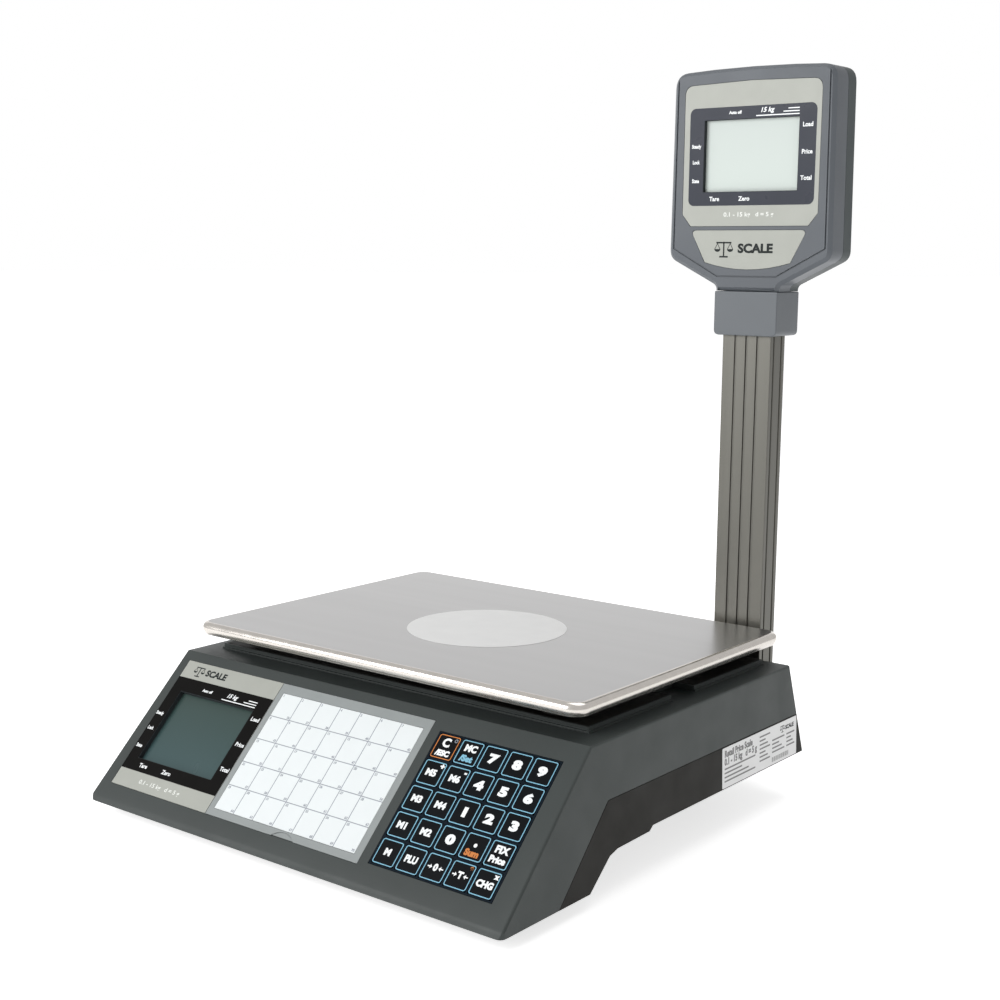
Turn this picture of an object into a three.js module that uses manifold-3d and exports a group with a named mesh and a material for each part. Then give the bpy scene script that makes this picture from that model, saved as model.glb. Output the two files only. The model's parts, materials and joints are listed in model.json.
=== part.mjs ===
// Retail price-computing scale with a display pole.
// Layout frame, millimetres: X = 0 on the base's centre plane, +X to the operator's right,
// Y = 0 at the front lip and +Y to the rear, Z = 0 at the front lip's lower edge.
// The exported group is shifted so that its own origin is the centre of the bottom of its box.
import * as THREE from 'three';
import { ConvexGeometry } from 'three/addons/geometries/ConvexGeometry.js';
import { mergeVertices } from 'three/addons/utils/BufferGeometryUtils.js';
import Module from 'manifold-3d';

const wasm = await Module();
wasm.setup();

// ---------- driving dimensions ----------
const GAP = 0.3;                    // play between neighbouring pieces
const BITE = 1;                     // how far joined solids run into each other
const WALL = 3.2;                   // housing wall
const PAST = 9;                     // how far a cutter runs past the face it opens
const FAR = 420;                    // reach of cutters that cross the whole scale
const CURVE_STEPS = 6;              // segments in each rounded corner
const OPEN_FLOOR = -6;              // underside of the cutters that hollow the housings

const BASE_HALF_WIDTH = 185.5;      // at the lower edge of the front lip
const DECK_HALF_WIDTH = 182.5;      // at the deck: the sides flare outwards going down
const DECK_Z = 92;
const LIP = { y: 2.2, z: 4.9 };     // crease between the front lip and the sloped panel
const DECK_FRONT_Y = 90;
const DECK_REAR_Y = 338;
const REAR_LOW_Y = 366.4;           // rear wall carried down to Z = 0
const SIDE_EDGE = 1.6;              // rounding where the side walls meet the panel, deck and rear wall
const LIP_CORNER = 5;               // rounding of the two upright corners at the lip

const PARTING_FOOT_Y = 55;          // where the slanted parting line meets the lower edge
const PARTING_KNEE = { y: 107, z: 54 };
const PARTING_GAP = 0.4;              // the lower housing stands this far below the parting line
const BELLY = [[87, 0], [108.5, 18], [117, 20.3], [153, 21], [157, 24]];   // stepped underside
const BELLY_REAR_Z = 24;

// Raised deck under the platter, in two steps, with a notch in each side and hollow behind.
const PLINTH = {
  halfX: 165.5, y0: 111, y1: 327, top: 95.8, step: 1.2, ledge: 1, hollowX: 144, hollowMargin: 4,
};
const NOTCH = { x: 148, y0: 205.7, y1: 234.2 };
const VIAL = { x: -157.5, y: 220, z0: 90.4, z1: 94, r: 7.6 };

// Lower housing: a tray with a battery compartment, a power inlet and a rocker switch.
const TRAY_INSET = WALL + 0.6;      // the front of the tray sits inside the upper housing's skirt
const TRAY_FRONT_TOP = 14;
const BATTERY = { halfX: 50, y0: 238, y1: 308, z0: 27.8, z1: 74 };
const TERMINAL = { x: 36, half: 3, set: 6, sheet: 1, rise: 6 };       // flat tabs on top of the battery
const DOOR = { halfX: 54, y0: 234, y1: 312, sheet: 2.4, slack: 0.4, notch: 9, notchDepth: 1.2 };
const INLET = { y: 292, z: 39.5, halfY: 13.8, halfZ: 10, depth: 22 };
const INLET_SOCKET = { halfY: 11.8, halfZ: 8, depth: 17 };
const INLET_CONTACTS = [[-7, -1.5], [7, -1.5], [0, 2.5]];      // along Y and Z from the middle
const CONTACT = { halfY: 1, halfZ: 2, set: 6 };
const FLANGE_REST = 1.4;            // the inlet's flange lies in a recess this deep
const FLANGE_MARGIN = 2.2;
const ROCKER = {
  y: 238, z: 39.5, halfY: 10.8, halfZ: 7, rise: 2.6, valley: 1.6, back: 7, pivotDepth: 3.4, lean: 9,
};

const FEET_XY = [[-125, 55], [125, 55], [-118, 300], [118, 300]];
const FOOT_NAMES = ['front_left', 'front_right', 'rear_left', 'rear_right'];
const FOOT_DROP = 10;               // lip above the counter
const STUD_R = 4;
const STUD_RISE = 20;               // how far the stud reaches up into its boss
const STUD_BORE_R = 4.4;
const BOSS_R = 11;
const BOSS_TOP = { front: 24, rear: 38 };
const PAD = { r: 16, height: 6.2, edge: 3, socket: 4.9, floor: 2.2 };
const HEX_R = 7.5;

// A pan whose edge rolls over at the top and tucks in again at the lower edge.
const PLATTER = {
  halfX: 173, y0: 90.2, y1: 343.2, top: 115, rim: 9, sheet: 1.4, corner: 12, roll: 4, tuck: 3,
};
const PLATTER_Y = (PLATTER.y0 + PLATTER.y1) / 2;
const ARM_POST = { x: 135, y: 92, r: 13 };
const SPIDER = { z0: 98, arm: 8, plate: 6, halfX: 72, halfY: 34, halfArm: 8 };

const CELL = { length: 130, width: 30, z0: 36.3, z1: 58.3, hole: 7, holeX: 12, slot: 2, foot: 32 };
const STEM = { x0: 35, x1: 65, halfY: 12, play: 9, slotMargin: 8 };

const COLUMN_X = 131;               // centre of the pole, collar and head
const COLUMN = { halfX: 19.6, y0: 350, y1: 371, z0: 62, z1: 349.7, wall: 2.6 };
const COLUMN_Y = (COLUMN.y0 + COLUMN.y1) / 2;
const GROOVE = { width: 1.7, depth: 1.1, wideFace: [-9, 0, 9], narrowFace: [-5.5, 5.5] };
const COLLAR = { halfX: 25.5, y0: 346, y1: 378.4, z0: 325.7, z1: 357.1, corner: 4 };
const SHOE = { halfX: 26, y1: 375, z0: 28, z1: 80, toeY: 8, toeZ: 12 };
const CABLE_R = 2.4;
const CABLE_Z = 44;                 // height of the cable's way out of the base
const CABLE_BEND = 11;
const CABLE_PLAY = { wall: 2, shoe: 1.2 };
const CABLE_ENDS = { insideBase: 22, belowHip: 4 };
const CABLE_SLEEVE = { halfX: 7, halfY: 5 };      // passage for the cable at the top of the pole

const HEAD = {
  y0: 346, y1: 380, split: 365,
  neckZ: 357.4, shoulderZ: 361, hipZ: 380.6, topZ: 511.2, archZ: 513.2,
  frontEdge: 2.6, rearEdge: 3.4, frontWall: 3,
};
const HEAD_HALF_LOW = 65.5;
const HEAD_HALF_TOP = 64;
const HEAD_WALL = 2.6;
const HEAD_WINDOW = { halfX: 38, z0: 427, z1: 477.7 };
const HEAD_BOARD = { halfX: 46, z0: 415, z1: 488, set: 9, sheet: 1.6 };
// Groove round the raised face: down one side, across the waist and up the other side.
const FACE = { lowX: 61.7, lowZ: 387, topX: 60.4, waistX: 24, kneeZ: 367.1, width: 1.1, depth: 1 };
const OVERLAY = { halfX: 54.3, z0: 403.2, topZ: 503.5, recess: 1, sheet: 0.6, cut: 7, crown: 1.5, corner: 7 };
const BADGE = { halfX: 46.8, lowX: 34.5, z0: 372.7, z1: 400.2, bow: 4.8, corner: 3 };
const LCD_LAP = 2;                  // the display glass runs this far behind the edge of its window
const LCD_SHEET = 3;

const KEY_PITCH = 19.05;
const KEY_SIZE = 17;
const KEY_ROWS = [
  ['key_clear', 'key_memory_clear', 'key_7', 'key_8', 'key_9'],
  ['key_m5', 'key_m6', 'key_4', 'key_5', 'key_6'],
  ['key_m3', 'key_m4', 'key_1', 'key_2', 'key_3'],
  ['key_m1', 'key_m2', 'key_0', 'key_point', 'key_fix_price'],
  ['key_m', 'key_plu', 'key_zero', 'key_tare', 'key_change'],
];
const KEYPAD = { x0: 72, x1: 168.8, s0: 13.6, s1: 109.6 };      // on the sloped panel
const DISPLAY = { x0: -173.8, x1: -75.4, s0: 10.9, s1: 115.8 };
const LCD = { x0: -164, x1: -87, s0: 33.6, s1: 91 };
const PLU = { x0: -74.9, x1: 64, s0: 10.9, s1: 115.8 };
const CARD = { x0: -70, x1: 58.2, s0: 16.4, s1: 108.5 };
const THUMB_NOTCH = { x: -2, s: 1.1, r: 14.1 };
const FILM_RECESS = 1.2;
const FILM = { n0: -0.9, n1: -0.1 };              // printed films lie just below the panel's surface
const KEY_WELL = 2;
const KEY_CAP = { n0: -1.2, n1: 0.15, corner: 1.6 };
const MAIN_BOARD = { x0: -78, x1: 62, s0: 22, s1: 96, n0: -17.6, n1: -16 };

// ---------- solids from three.js geometry ----------
function solid(geometry) {
  const bare = geometry.clone();
  bare.deleteAttribute('normal');
  bare.deleteAttribute('uv');
  const merged = mergeVertices(bare, 1e-4);
  const mesh = new wasm.Mesh({
    numProp: 3,
    vertProperties: new Float32Array(merged.attributes.position.array),
    triVerts: new Uint32Array(merged.index.array),
  });
  return new wasm.Manifold(mesh);
}

function geometryOf(manifold) {
  const mesh = manifold.getMesh();
  const geometry = new THREE.BufferGeometry();
  geometry.setAttribute('position', new THREE.BufferAttribute(mesh.vertProperties.slice(), 3));
  geometry.setIndex(new THREE.BufferAttribute(mesh.triVerts.slice(), 1));
  geometry.computeVertexNormals();
  return geometry;
}

function boxGeometry(x0, x1, y0, y1, z0, z1) {
  const geometry = new THREE.BoxGeometry(x1 - x0, y1 - y0, z1 - z0);
  return geometry.translate((x0 + x1) / 2, (y0 + y1) / 2, (z0 + z1) / 2);
}

const box = (...sides) => solid(boxGeometry(...sides));

function rodZ(x, y, z0, z1, radius, segments = 20) {
  const geometry = new THREE.CylinderGeometry(radius, radius, z1 - z0, segments);
  return solid(geometry.rotateX(Math.PI / 2).translate(x, y, (z0 + z1) / 2));
}

function rodY(x, z, y0, y1, radius, segments = 16) {
  const geometry = new THREE.CylinderGeometry(radius, radius, y1 - y0, segments);
  return solid(geometry.translate(x, (y0 + y1) / 2, z));
}

// A prism whose section is drawn in Y and Z, running across X.
function prismX(section, x0, x1) {
  const shape = new THREE.Shape(section.map(([y, z]) => new THREE.Vector2(y, z)));
  const geometry = new THREE.ExtrudeGeometry(shape, { depth: x1 - x0, bevelEnabled: false });
  const toYZ = new THREE.Matrix4().makeBasis(
    new THREE.Vector3(0, 1, 0), new THREE.Vector3(0, 0, 1), new THREE.Vector3(1, 0, 0));
  return solid(geometry.applyMatrix4(toYZ).translate(x0, 0, 0));
}

// A prism over an outline drawn in X and Y.
function prismZ(shape, z0, z1) {
  const options = { depth: z1 - z0, bevelEnabled: false, curveSegments: CURVE_STEPS };
  return solid(new THREE.ExtrudeGeometry(shape, options).translate(0, 0, z0));
}

// A slab whose outline is drawn in X and Z, running along Y, with its y0 edge chamfered.
function slabY(shape, y0, y1, chamfer = 0) {
  const options = { depth: y1 - y0, bevelEnabled: chamfer > 0, curveSegments: CURVE_STEPS };
  if (chamfer > 0) {
    Object.assign(options, {
      bevelThickness: chamfer, bevelSize: chamfer, bevelOffset: -chamfer, bevelSegments: 1,
    });
  }
  const geometry = new THREE.ExtrudeGeometry(shape, options).rotateX(Math.PI / 2);
  if (chamfer === 0) {
    return solid(geometry.translate(0, y1, 0));
  }
  const long = solid(geometry.translate(0, y1 + chamfer, 0));
  return long.subtract(box(-FAR, FAR, y1, y1 + FAR, -FAR, 2 * FAR));
}

// A closed outline from corner points, each with its own rounding radius.
function roundedOutline(corners) {
  const shape = new THREE.Shape();
  corners.forEach(([x, y, radius], i) => {
    const [px, py] = corners[(i + corners.length - 1) % corners.length];
    const [nx, ny] = corners[(i + 1) % corners.length];
    const corner = new THREE.Vector2(x, y);
    const back = new THREE.Vector2(px, py).sub(corner).normalize();
    const ahead = new THREE.Vector2(nx, ny).sub(corner).normalize();
    const half = back.angleTo(ahead) / 2;
    const reach = radius > 0 ? radius / Math.tan(half) : 0;
    const start = corner.clone().addScaledVector(back, reach);
    const end = corner.clone().addScaledVector(ahead, reach);
    if (i === 0) {
      shape.moveTo(start.x, start.y);
    } else {
      shape.lineTo(start.x, start.y);
    }
    if (radius > 0) {
      shape.quadraticCurveTo(x, y, end.x, end.y);
    }
  });
  shape.closePath();
  return shape;
}

function roundedRectangle(x0, x1, y0, y1, radius) {
  return roundedOutline([[x0, y0, radius], [x1, y0, radius], [x1, y1, radius], [x0, y1, radius]]);
}

// ---------- the sloped operator panel: x across, s up the slope, n outwards ----------
const PANEL_TILT = Math.atan2(DECK_Z - LIP.z, DECK_FRONT_Y - LIP.y);
const panelMatrix = new THREE.Matrix4().makeRotationX(PANEL_TILT).setPosition(0, LIP.y, LIP.z);
const onPanel = (shape) => shape.transform(panelMatrix.toArray());

// ---------- the base's outer form ----------
const halfWidthAt = (z) => BASE_HALF_WIDTH - (BASE_HALF_WIDTH - DECK_HALF_WIDTH) * z / DECK_Z;
const rearWallY = (z) => DECK_REAR_Y + (REAR_LOW_Y - DECK_REAR_Y) * (DECK_Z - z) / DECK_Z;

// Where two lines meet, each given by two points.
function meet([ax, ay], [bx, by], [cx, cy], [dx, dy]) {
  const across = (bx - ax) * (dy - cy) - (by - ay) * (dx - cx);
  const share = ((cx - ax) * (dy - cy) - (cy - ay) * (dx - cx)) / across;
  return [ax + share * (bx - ax), ay + share * (by - ay)];
}

// The base's side view with every face moved in by inset and the underside at floorZ.
function baseSection(inset, floorZ) {
  const outline = [[0, 0], [LIP.y, LIP.z], [DECK_FRONT_Y, DECK_Z], [DECK_REAR_Y, DECK_Z], [REAR_LOW_Y, 0]];
  const edges = outline.slice(1).map((end, i) => {
    const start = outline[i];
    const length = Math.hypot(end[0] - start[0], end[1] - start[1]);
    const shift = [(end[1] - start[1]) / length * inset, -(end[0] - start[0]) / length * inset];
    return [[start[0] + shift[0], start[1] + shift[1]], [end[0] + shift[0], end[1] + shift[1]]];
  });
  const floor = [[0, floorZ], [1, floorZ]];
  const section = [meet(...floor, ...edges[0])];
  edges.slice(1).forEach((edge, i) => section.push(meet(...edges[i], ...edge)));
  section.push(meet(...edges[edges.length - 1], ...floor));
  return section;
}

// The base as a convex block moved in by inset. Its side edges are rounded in two facets by edge.
function baseBlock(inset, floorZ, edge = 0) {
  const facet = 0.3 * edge;
  const layers = edge > 0 ? [[0, edge], [facet, facet], [edge, 0]] : [[0, 0]];
  const points = layers.flatMap(([sunk, narrowed]) => baseSection(inset + sunk, floorZ).flatMap(([y, z]) => {
    const x = halfWidthAt(z) - inset - narrowed;
    return [new THREE.Vector3(-x, y, z), new THREE.Vector3(x, y, z)];
  }));
  return solid(new ConvexGeometry(points));
}

// A tall prism over the base's plan, with the two corners at the lip rounded.
function lipCorners() {
  const half = BASE_HALF_WIDTH;
  const plan = roundedOutline([
    [-half, 0, LIP_CORNER], [half, 0, LIP_CORNER], [half, FAR, 0], [-half, FAR, 0],
  ]);
  return prismZ(plan, OPEN_FLOOR, FAR);
}

const PARTING_SLOPE = (PARTING_KNEE.y - PARTING_FOOT_Y) / PARTING_KNEE.z;

// Everything above (or below) the parting line between the two housings.
function partingRegion(above, shift) {
  const low = -8;
  const foot = PARTING_FOOT_Y + low * PARTING_SLOPE + shift;
  const kneeZ = PARTING_KNEE.z - shift;
  const line = [[foot, low], [PARTING_KNEE.y + shift, kneeZ], [FAR, kneeZ]];
  const rest = above ? [[FAR, FAR], [-FAR, FAR], [-FAR, low]] : [[FAR, low]];
  return prismX([...line, ...rest], -FAR, FAR);
}

function upperHousing() {
  let shell = baseBlock(0, 0, SIDE_EDGE).intersect(partingRegion(true, 0)).intersect(lipCorners());
  shell = shell.add(plinth());
  shell = shell.subtract(baseBlock(WALL, OPEN_FLOOR));
  const { hollowX, hollowMargin, y0, y1, top } = PLINTH;
  shell = shell.subtract(
    box(-hollowX, hollowX, y0 + hollowMargin, y1 - hollowMargin, DECK_Z - WALL - BITE, top - WALL));
  const stemHalfY = STEM.halfY + STEM.play;
  shell = shell.subtract(box(STEM.x0 - STEM.play, STEM.x1 + STEM.play,
    PLATTER_Y - stemHalfY, PLATTER_Y + stemHalfY, DECK_Z - PAST, DECK_Z + PAST));
  shell = shell.subtract(rodZ(VIAL.x, VIAL.y, VIAL.z0 - GAP, DECK_Z + PAST, VIAL.r + GAP));
  const films = { x0: DISPLAY.x0, x1: PLU.x1, s0: PLU.s0, s1: PLU.s1 };
  shell = shell.subtract(onPanel(film(films, -FILM_RECESS, PAST, -GAP)));
  shell = shell.subtract(onPanel(film(LCD, -PAST, PAST, -GAP)));
  return shell.subtract(onPanel(film(KEYPAD, -KEY_WELL, PAST, -GAP)));
}

// The raised deck in two steps, with a notch in the middle of each side.
function plinth() {
  const { halfX, y0, y1, top, step, ledge } = PLINTH;
  const foot = box(-halfX - ledge, halfX + ledge, y0 - ledge, y1 + ledge, DECK_Z - BITE, DECK_Z + step);
  const body = box(-halfX, halfX, y0, y1, DECK_Z - BITE, top);
  const far = halfX + PAST;
  return foot.add(body)
    .subtract(box(NOTCH.x, far, NOTCH.y0, NOTCH.y1, DECK_Z, DECK_Z + PAST))
    .subtract(box(-far, -NOTCH.x, NOTCH.y0, NOTCH.y1, DECK_Z, DECK_Z + PAST));
}

// ---------- lower housing: a tray with a stepped underside ----------
// Everything below the stepped underside.
function underside() {
  const start = BELLY[0];
  return prismX([[start[0], -FAR], ...BELLY, [FAR, BELLY_REAR_Z], [FAR, -FAR]], -FAR, FAR);
}

// Everything above the tray's floor, which follows the underside one wall higher.
function aboveFloor() {
  const line = BELLY.map(([y, z]) => [y - 1, z + WALL]);
  return prismX([[-FAR, WALL], ...line, [FAR, BELLY_REAR_Z + WALL], [FAR, FAR], [-FAR, FAR]], -FAR, FAR);
}

function lowerHousing() {
  const skirt = baseBlock(0, 0, SIDE_EDGE).intersect(partingRegion(false, PARTING_GAP));
  const front = baseBlock(TRAY_INSET, 0)
    .intersect(box(-FAR, FAR, -PAST, PARTING_KNEE.y + 2 * PAST, -PAST, TRAY_FRONT_TOP));
  const room = baseBlock(WALL, OPEN_FLOOR).intersect(partingRegion(false, 0))
    .add(baseBlock(TRAY_INSET + WALL, OPEN_FLOOR))
    .intersect(aboveFloor());
  let tray = skirt.add(front).subtract(underside()).subtract(room);
  tray = footBosses(tray);
  tray = tray.add(box(-CELL.length / 2, -CELL.length / 2 + CELL.foot,
    PLATTER_Y - CELL.width / 2, PLATTER_Y + CELL.width / 2, BELLY_REAR_Z, CELL.z0 - GAP));
  tray = tray.subtract(box(-DOOR.halfX, DOOR.halfX, DOOR.y0, DOOR.y1, 0, BELLY_REAR_Z + PAST));
  tray = tray.subtract(sideBlock(INLET, -FAR, -BASE_HALF_WIDTH + PAST, GAP));
  const flangeFloor = -halfWidthAt(INLET.z) + FLANGE_REST + GAP;
  tray = tray.subtract(sideBlock(INLET, -FAR, flangeFloor, FLANGE_MARGIN + GAP));
  tray = tray.subtract(sideBlock(ROCKER, -FAR, -BASE_HALF_WIDTH + PAST, 0));
  return tray.subtract(rodY(COLUMN_X, CABLE_Z, DECK_REAR_Y - PAST, FAR, CABLE_R + CABLE_PLAY.wall));
}

// Adds the four bored bosses that the feet screw into.
function footBosses(tray) {
  let bossed = tray;
  FEET_XY.forEach(([x, y]) => {
    bossed = bossed.add(rodZ(x, y, 0, y < DECK_FRONT_Y ? BOSS_TOP.front : BOSS_TOP.rear, BOSS_R, 18));
  });
  FEET_XY.forEach(([x, y]) => {
    bossed = bossed.subtract(rodZ(x, y, -PAST, BOSS_TOP.rear + PAST, STUD_BORE_R, 14));
  });
  return bossed;
}

// A block between two depths behind the left side wall, centred on a cut-out and grown by extra.
function sideBlock({ y, z, halfY, halfZ }, x0, x1, extra) {
  return box(x0, x1, y - halfY - extra, y + halfY + extra, z - halfZ - extra, z + halfZ + extra);
}

function batteryDoor() {
  const { halfX, y0, y1, sheet, slack, notch, notchDepth } = DOOR;
  const top = BELLY_REAR_Z + sheet;
  const plate = box(-halfX + slack, halfX - slack, y0 + slack, y1 - slack, BELLY_REAR_Z, top);
  return plate.subtract(rodZ(0, y0 + slack, BELLY_REAR_Z - PAST, BELLY_REAR_Z + notchDepth, notch, 16));
}

function battery() {
  const { halfX, y0, y1, z0, z1 } = BATTERY;
  const { x: offset, half, set, sheet, rise } = TERMINAL;
  const terminal = (x) => box(x - half, x + half, y0 + set, y0 + set + sheet, z1 - BITE, z1 + rise);
  return box(-halfX, halfX, y0, y1, z0, z1).add(terminal(-offset)).add(terminal(offset));
}

// Single-point load cell: a bar with a binocular hole across it.
function loadCell() {
  const half = CELL.length / 2;
  const middle = (CELL.z0 + CELL.z1) / 2;
  const [y0, y1] = [PLATTER_Y - CELL.width / 2, PLATTER_Y + CELL.width / 2];
  let bar = box(-half, half, y0, y1, CELL.z0, CELL.z1);
  for (const side of [-1, 1]) {
    bar = bar.subtract(rodY(side * CELL.holeX, middle, y0 - PAST, y1 + PAST, CELL.hole));
  }
  return bar.subtract(
    box(-CELL.holeX, CELL.holeX, y0 - PAST, y1 + PAST, middle - CELL.slot, middle + CELL.slot));
}

// A stem from the cell's free end up to the platter support, with a window through it.
function loadBracket() {
  const { x0, x1, halfY, slotMargin } = STEM;
  const [z0, z1] = [CELL.z1 + GAP, SPIDER.z0 - GAP];
  const stem = box(x0, x1, PLATTER_Y - halfY, PLATTER_Y + halfY, z0, z1);
  return stem.subtract(box(x0 + slotMargin, x1 - slotMargin,
    PLATTER_Y - halfY - PAST, PLATTER_Y + halfY + PAST, z0 + slotMargin, z1 - slotMargin));
}

// Platter support: a plate with four arms, each ending in a round post.
function platterSupport() {
  const { z0, arm, plate, halfX, halfY, halfArm } = SPIDER;
  let frame = box(-halfX, halfX, PLATTER_Y - halfY, PLATTER_Y + halfY, z0, z0 + plate);
  const reach = Math.hypot(ARM_POST.x, ARM_POST.y);
  const swing = Math.atan2(ARM_POST.y, ARM_POST.x);
  for (const turn of [swing, -swing]) {
    const bar = boxGeometry(-reach, reach, -halfArm, halfArm, z0, z0 + arm);
    frame = frame.add(solid(bar.rotateZ(turn).translate(0, PLATTER_Y, 0)));
  }
  const postTop = PLATTER.top - PLATTER.sheet - GAP;
  for (const sx of [-1, 1]) {
    for (const sy of [-1, 1]) {
      frame = frame.add(rodZ(sx * ARM_POST.x, PLATTER_Y + sy * ARM_POST.y, z0, postTop, ARM_POST.r));
    }
  }
  return frame;
}

function platter() {
  const { halfX, y0, y1, top, rim, sheet, corner, roll, tuck } = PLATTER;
  const outline = (inset) => roundedRectangle(
    -halfX + inset, halfX - inset, y0 + inset, y1 - inset, corner - inset);
  const pan = new THREE.ExtrudeGeometry(outline(0), {
    depth: rim - 2 * roll, bevelEnabled: true, bevelThickness: roll, bevelSize: tuck, bevelOffset: -tuck,
    bevelSegments: 3, curveSegments: CURVE_STEPS,
  });
  const inside = prismZ(outline(tuck + sheet), top - rim - PAST, top - sheet);
  return solid(pan.translate(0, 0, top - rim + roll)).subtract(inside);
}

// ---------- feet ----------
function footPad() {
  const { r, height, edge, socket, floor } = PAD;
  const profile = [
    [0, 0], [r, 0], [r, edge], [r - edge, height], [socket, height], [socket, floor], [0, floor],
  ];
  const points = profile.map(([x, y]) => new THREE.Vector2(x, y));
  return new THREE.LatheGeometry(points, 20).rotateX(Math.PI / 2);
}

function footStud() {
  const hexBase = PAD.height + GAP;
  const hexTop = FOOT_DROP - GAP;
  const hex = rodZ(0, 0, hexBase, hexTop, HEX_R, 6);
  const swivel = rodZ(0, 0, PAD.floor + GAP, hexTop, PAD.socket - GAP, 14);
  return hex.add(swivel).add(rodZ(0, 0, hexBase, FOOT_DROP + STUD_RISE, STUD_R, 14));
}

// ---------- power inlet and rocker in the left side wall ----------
function powerInlet() {
  const { y, z, depth } = INLET;
  const flangeX = -halfWidthAt(z) + FLANGE_REST;
  const socketFloor = flangeX + INLET_SOCKET.depth;
  let body = sideBlock(INLET, flangeX, flangeX + depth, 0);
  body = body.add(sideBlock(INLET, flangeX - FLANGE_REST, flangeX, FLANGE_MARGIN));
  body = body.subtract(sideBlock({ y, z, ...INLET_SOCKET }, flangeX - PAST, socketFloor, 0));
  for (const [dy, dz] of INLET_CONTACTS) {
    const contact = { ...CONTACT, y: y + dy, z: z + dz };
    body = body.add(sideBlock(contact, flangeX + CONTACT.set, socketFloor + BITE, 0));
  }
  return body;
}

// The rocker: two faces meeting in a shallow valley, ends rounded about the pivot, leaning to one side.
function powerRocker() {
  const { y, z, halfY, halfZ, rise, valley, back, pivotDepth, lean } = ROCKER;
  const outline = [[-back, -halfY], [-back, halfY], [rise, halfY], [valley, 0], [rise, -halfY]];
  const shape = new THREE.Shape(outline.map(([out, along]) => new THREE.Vector2(-out, along)));
  const top = halfZ - GAP;
  const ends = rodZ(0, 0, -top, top, halfY - GAP, 32);
  const rocker = prismZ(shape, -top, top).intersect(ends);
  return rocker.rotate([0, 0, lean]).translate([-halfWidthAt(z) + pivotDepth, y, z]);
}

// ---------- pole ----------
// The pole's section: a rectangle with narrow grooves running up each face.
function grooved(halfX, halfY) {
  const { width, depth, wideFace, narrowFace } = GROOVE;
  const points = [];
  // One side of the section from corner to corner, with grooves at the given offsets.
  const side = (length, offsets, place) => {
    points.push(place(-length, 0));
    for (const at of offsets) {
      const [start, end] = [at - width / 2, at + width / 2];
      points.push(place(start, 0), place(start, depth), place(end, depth), place(end, 0));
    }
  };
  side(halfX, wideFace, (t, d) => [t, -halfY + d]);
  side(halfY, narrowFace, (t, d) => [halfX - d, t]);
  side(halfX, wideFace, (t, d) => [-t, halfY - d]);
  side(halfY, narrowFace, (t, d) => [-halfX + d, -t]);
  return new THREE.Shape(points.map(([x, y]) => new THREE.Vector2(x, y)));
}

function column() {
  const halfY = (COLUMN.y1 - COLUMN.y0) / 2;
  const section = grooved(COLUMN.halfX, halfY);
  const [ix, iy] = [COLUMN.halfX - COLUMN.wall, halfY - COLUMN.wall];
  const bore = [[-ix, -iy], [-ix, iy], [ix, iy], [ix, -iy]];
  section.holes.push(new THREE.Path(bore.map(([x, y]) => new THREE.Vector2(x, y))));
  return new THREE.ExtrudeGeometry(section, { depth: COLUMN.z1 - COLUMN.z0, bevelEnabled: false });
}

// The space the pole takes up in a neighbouring piece, between two heights.
function poleSocket(z0, z1) {
  const half = COLUMN.halfX + GAP;
  return box(COLUMN_X - half, COLUMN_X + half, COLUMN.y0 - GAP, COLUMN.y1 + GAP, z0, z1);
}

// A wedge that stands the upright column off the slanted rear wall.
function columnShoe() {
  const { halfX, y1, z0, z1, toeY, toeZ } = SHOE;
  const off = PARTING_GAP;
  const section = [
    [rearWallY(z0) + off, z0], [rearWallY(z1) + off, z1], [y1, z1], [y1, z0 + toeZ], [y1 - toeY, z0],
  ];
  const points = section.flatMap(([y, z]) => [-halfX, halfX].map(
    (x) => new THREE.Vector3(COLUMN_X + x, y, z)));
  const passage = CABLE_R + CABLE_PLAY.shoe;
  return solid(new ConvexGeometry(points))
    .subtract(poleSocket(COLUMN.z0 - GAP, z1 + PAST))
    .subtract(rodY(COLUMN_X, CABLE_Z, DECK_REAR_Y - PAST, COLUMN_Y, passage, 12))
    .subtract(box(COLUMN_X - passage, COLUMN_X + passage, COLUMN_Y - PAST, COLUMN_Y + passage,
      CABLE_Z - passage, COLUMN.z0 + PAST));
}

function columnCable() {
  const headEnd = HEAD.hipZ - CABLE_ENDS.belowHip;
  const inside = rearWallY(CABLE_Z) - CABLE_ENDS.insideBase;
  const route = new THREE.CurvePath();
  const corner = new THREE.Vector3(0, COLUMN_Y, CABLE_Z);
  const before = new THREE.Vector3(0, COLUMN_Y - CABLE_BEND, CABLE_Z);
  const after = new THREE.Vector3(0, COLUMN_Y, CABLE_Z + CABLE_BEND);
  route.add(new THREE.LineCurve3(new THREE.Vector3(0, inside, CABLE_Z), before));
  route.add(new THREE.QuadraticBezierCurve3(before, corner, after));
  route.add(new THREE.LineCurve3(after, new THREE.Vector3(0, COLUMN_Y, headEnd)));
  const round = new THREE.Shape().absarc(0, 0, CABLE_R, 0, 2 * Math.PI, false);
  return new THREE.ExtrudeGeometry(round, {
    steps: 60, extrudePath: route, curveSegments: 4, bevelEnabled: false,
  }).translate(COLUMN_X, 0, 0);
}

function headCollar() {
  const { halfX, y0, y1, z0, z1, corner } = COLLAR;
  const front = roundedOutline([
    [COLUMN_X - halfX, z0, corner], [COLUMN_X + halfX, z0, corner],
    [COLUMN_X + halfX, z1, 0], [COLUMN_X - halfX, z1, 0],
  ]);
  const sleeve = box(COLUMN_X - CABLE_SLEEVE.halfX, COLUMN_X + CABLE_SLEEVE.halfX,
    COLUMN_Y - CABLE_SLEEVE.halfY, COLUMN_Y + CABLE_SLEEVE.halfY, z0, z1 + PAST);
  return slabY(front, y0, y1).subtract(poleSocket(z0 - PAST, COLUMN.z1 + GAP)).subtract(sleeve);
}

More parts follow.
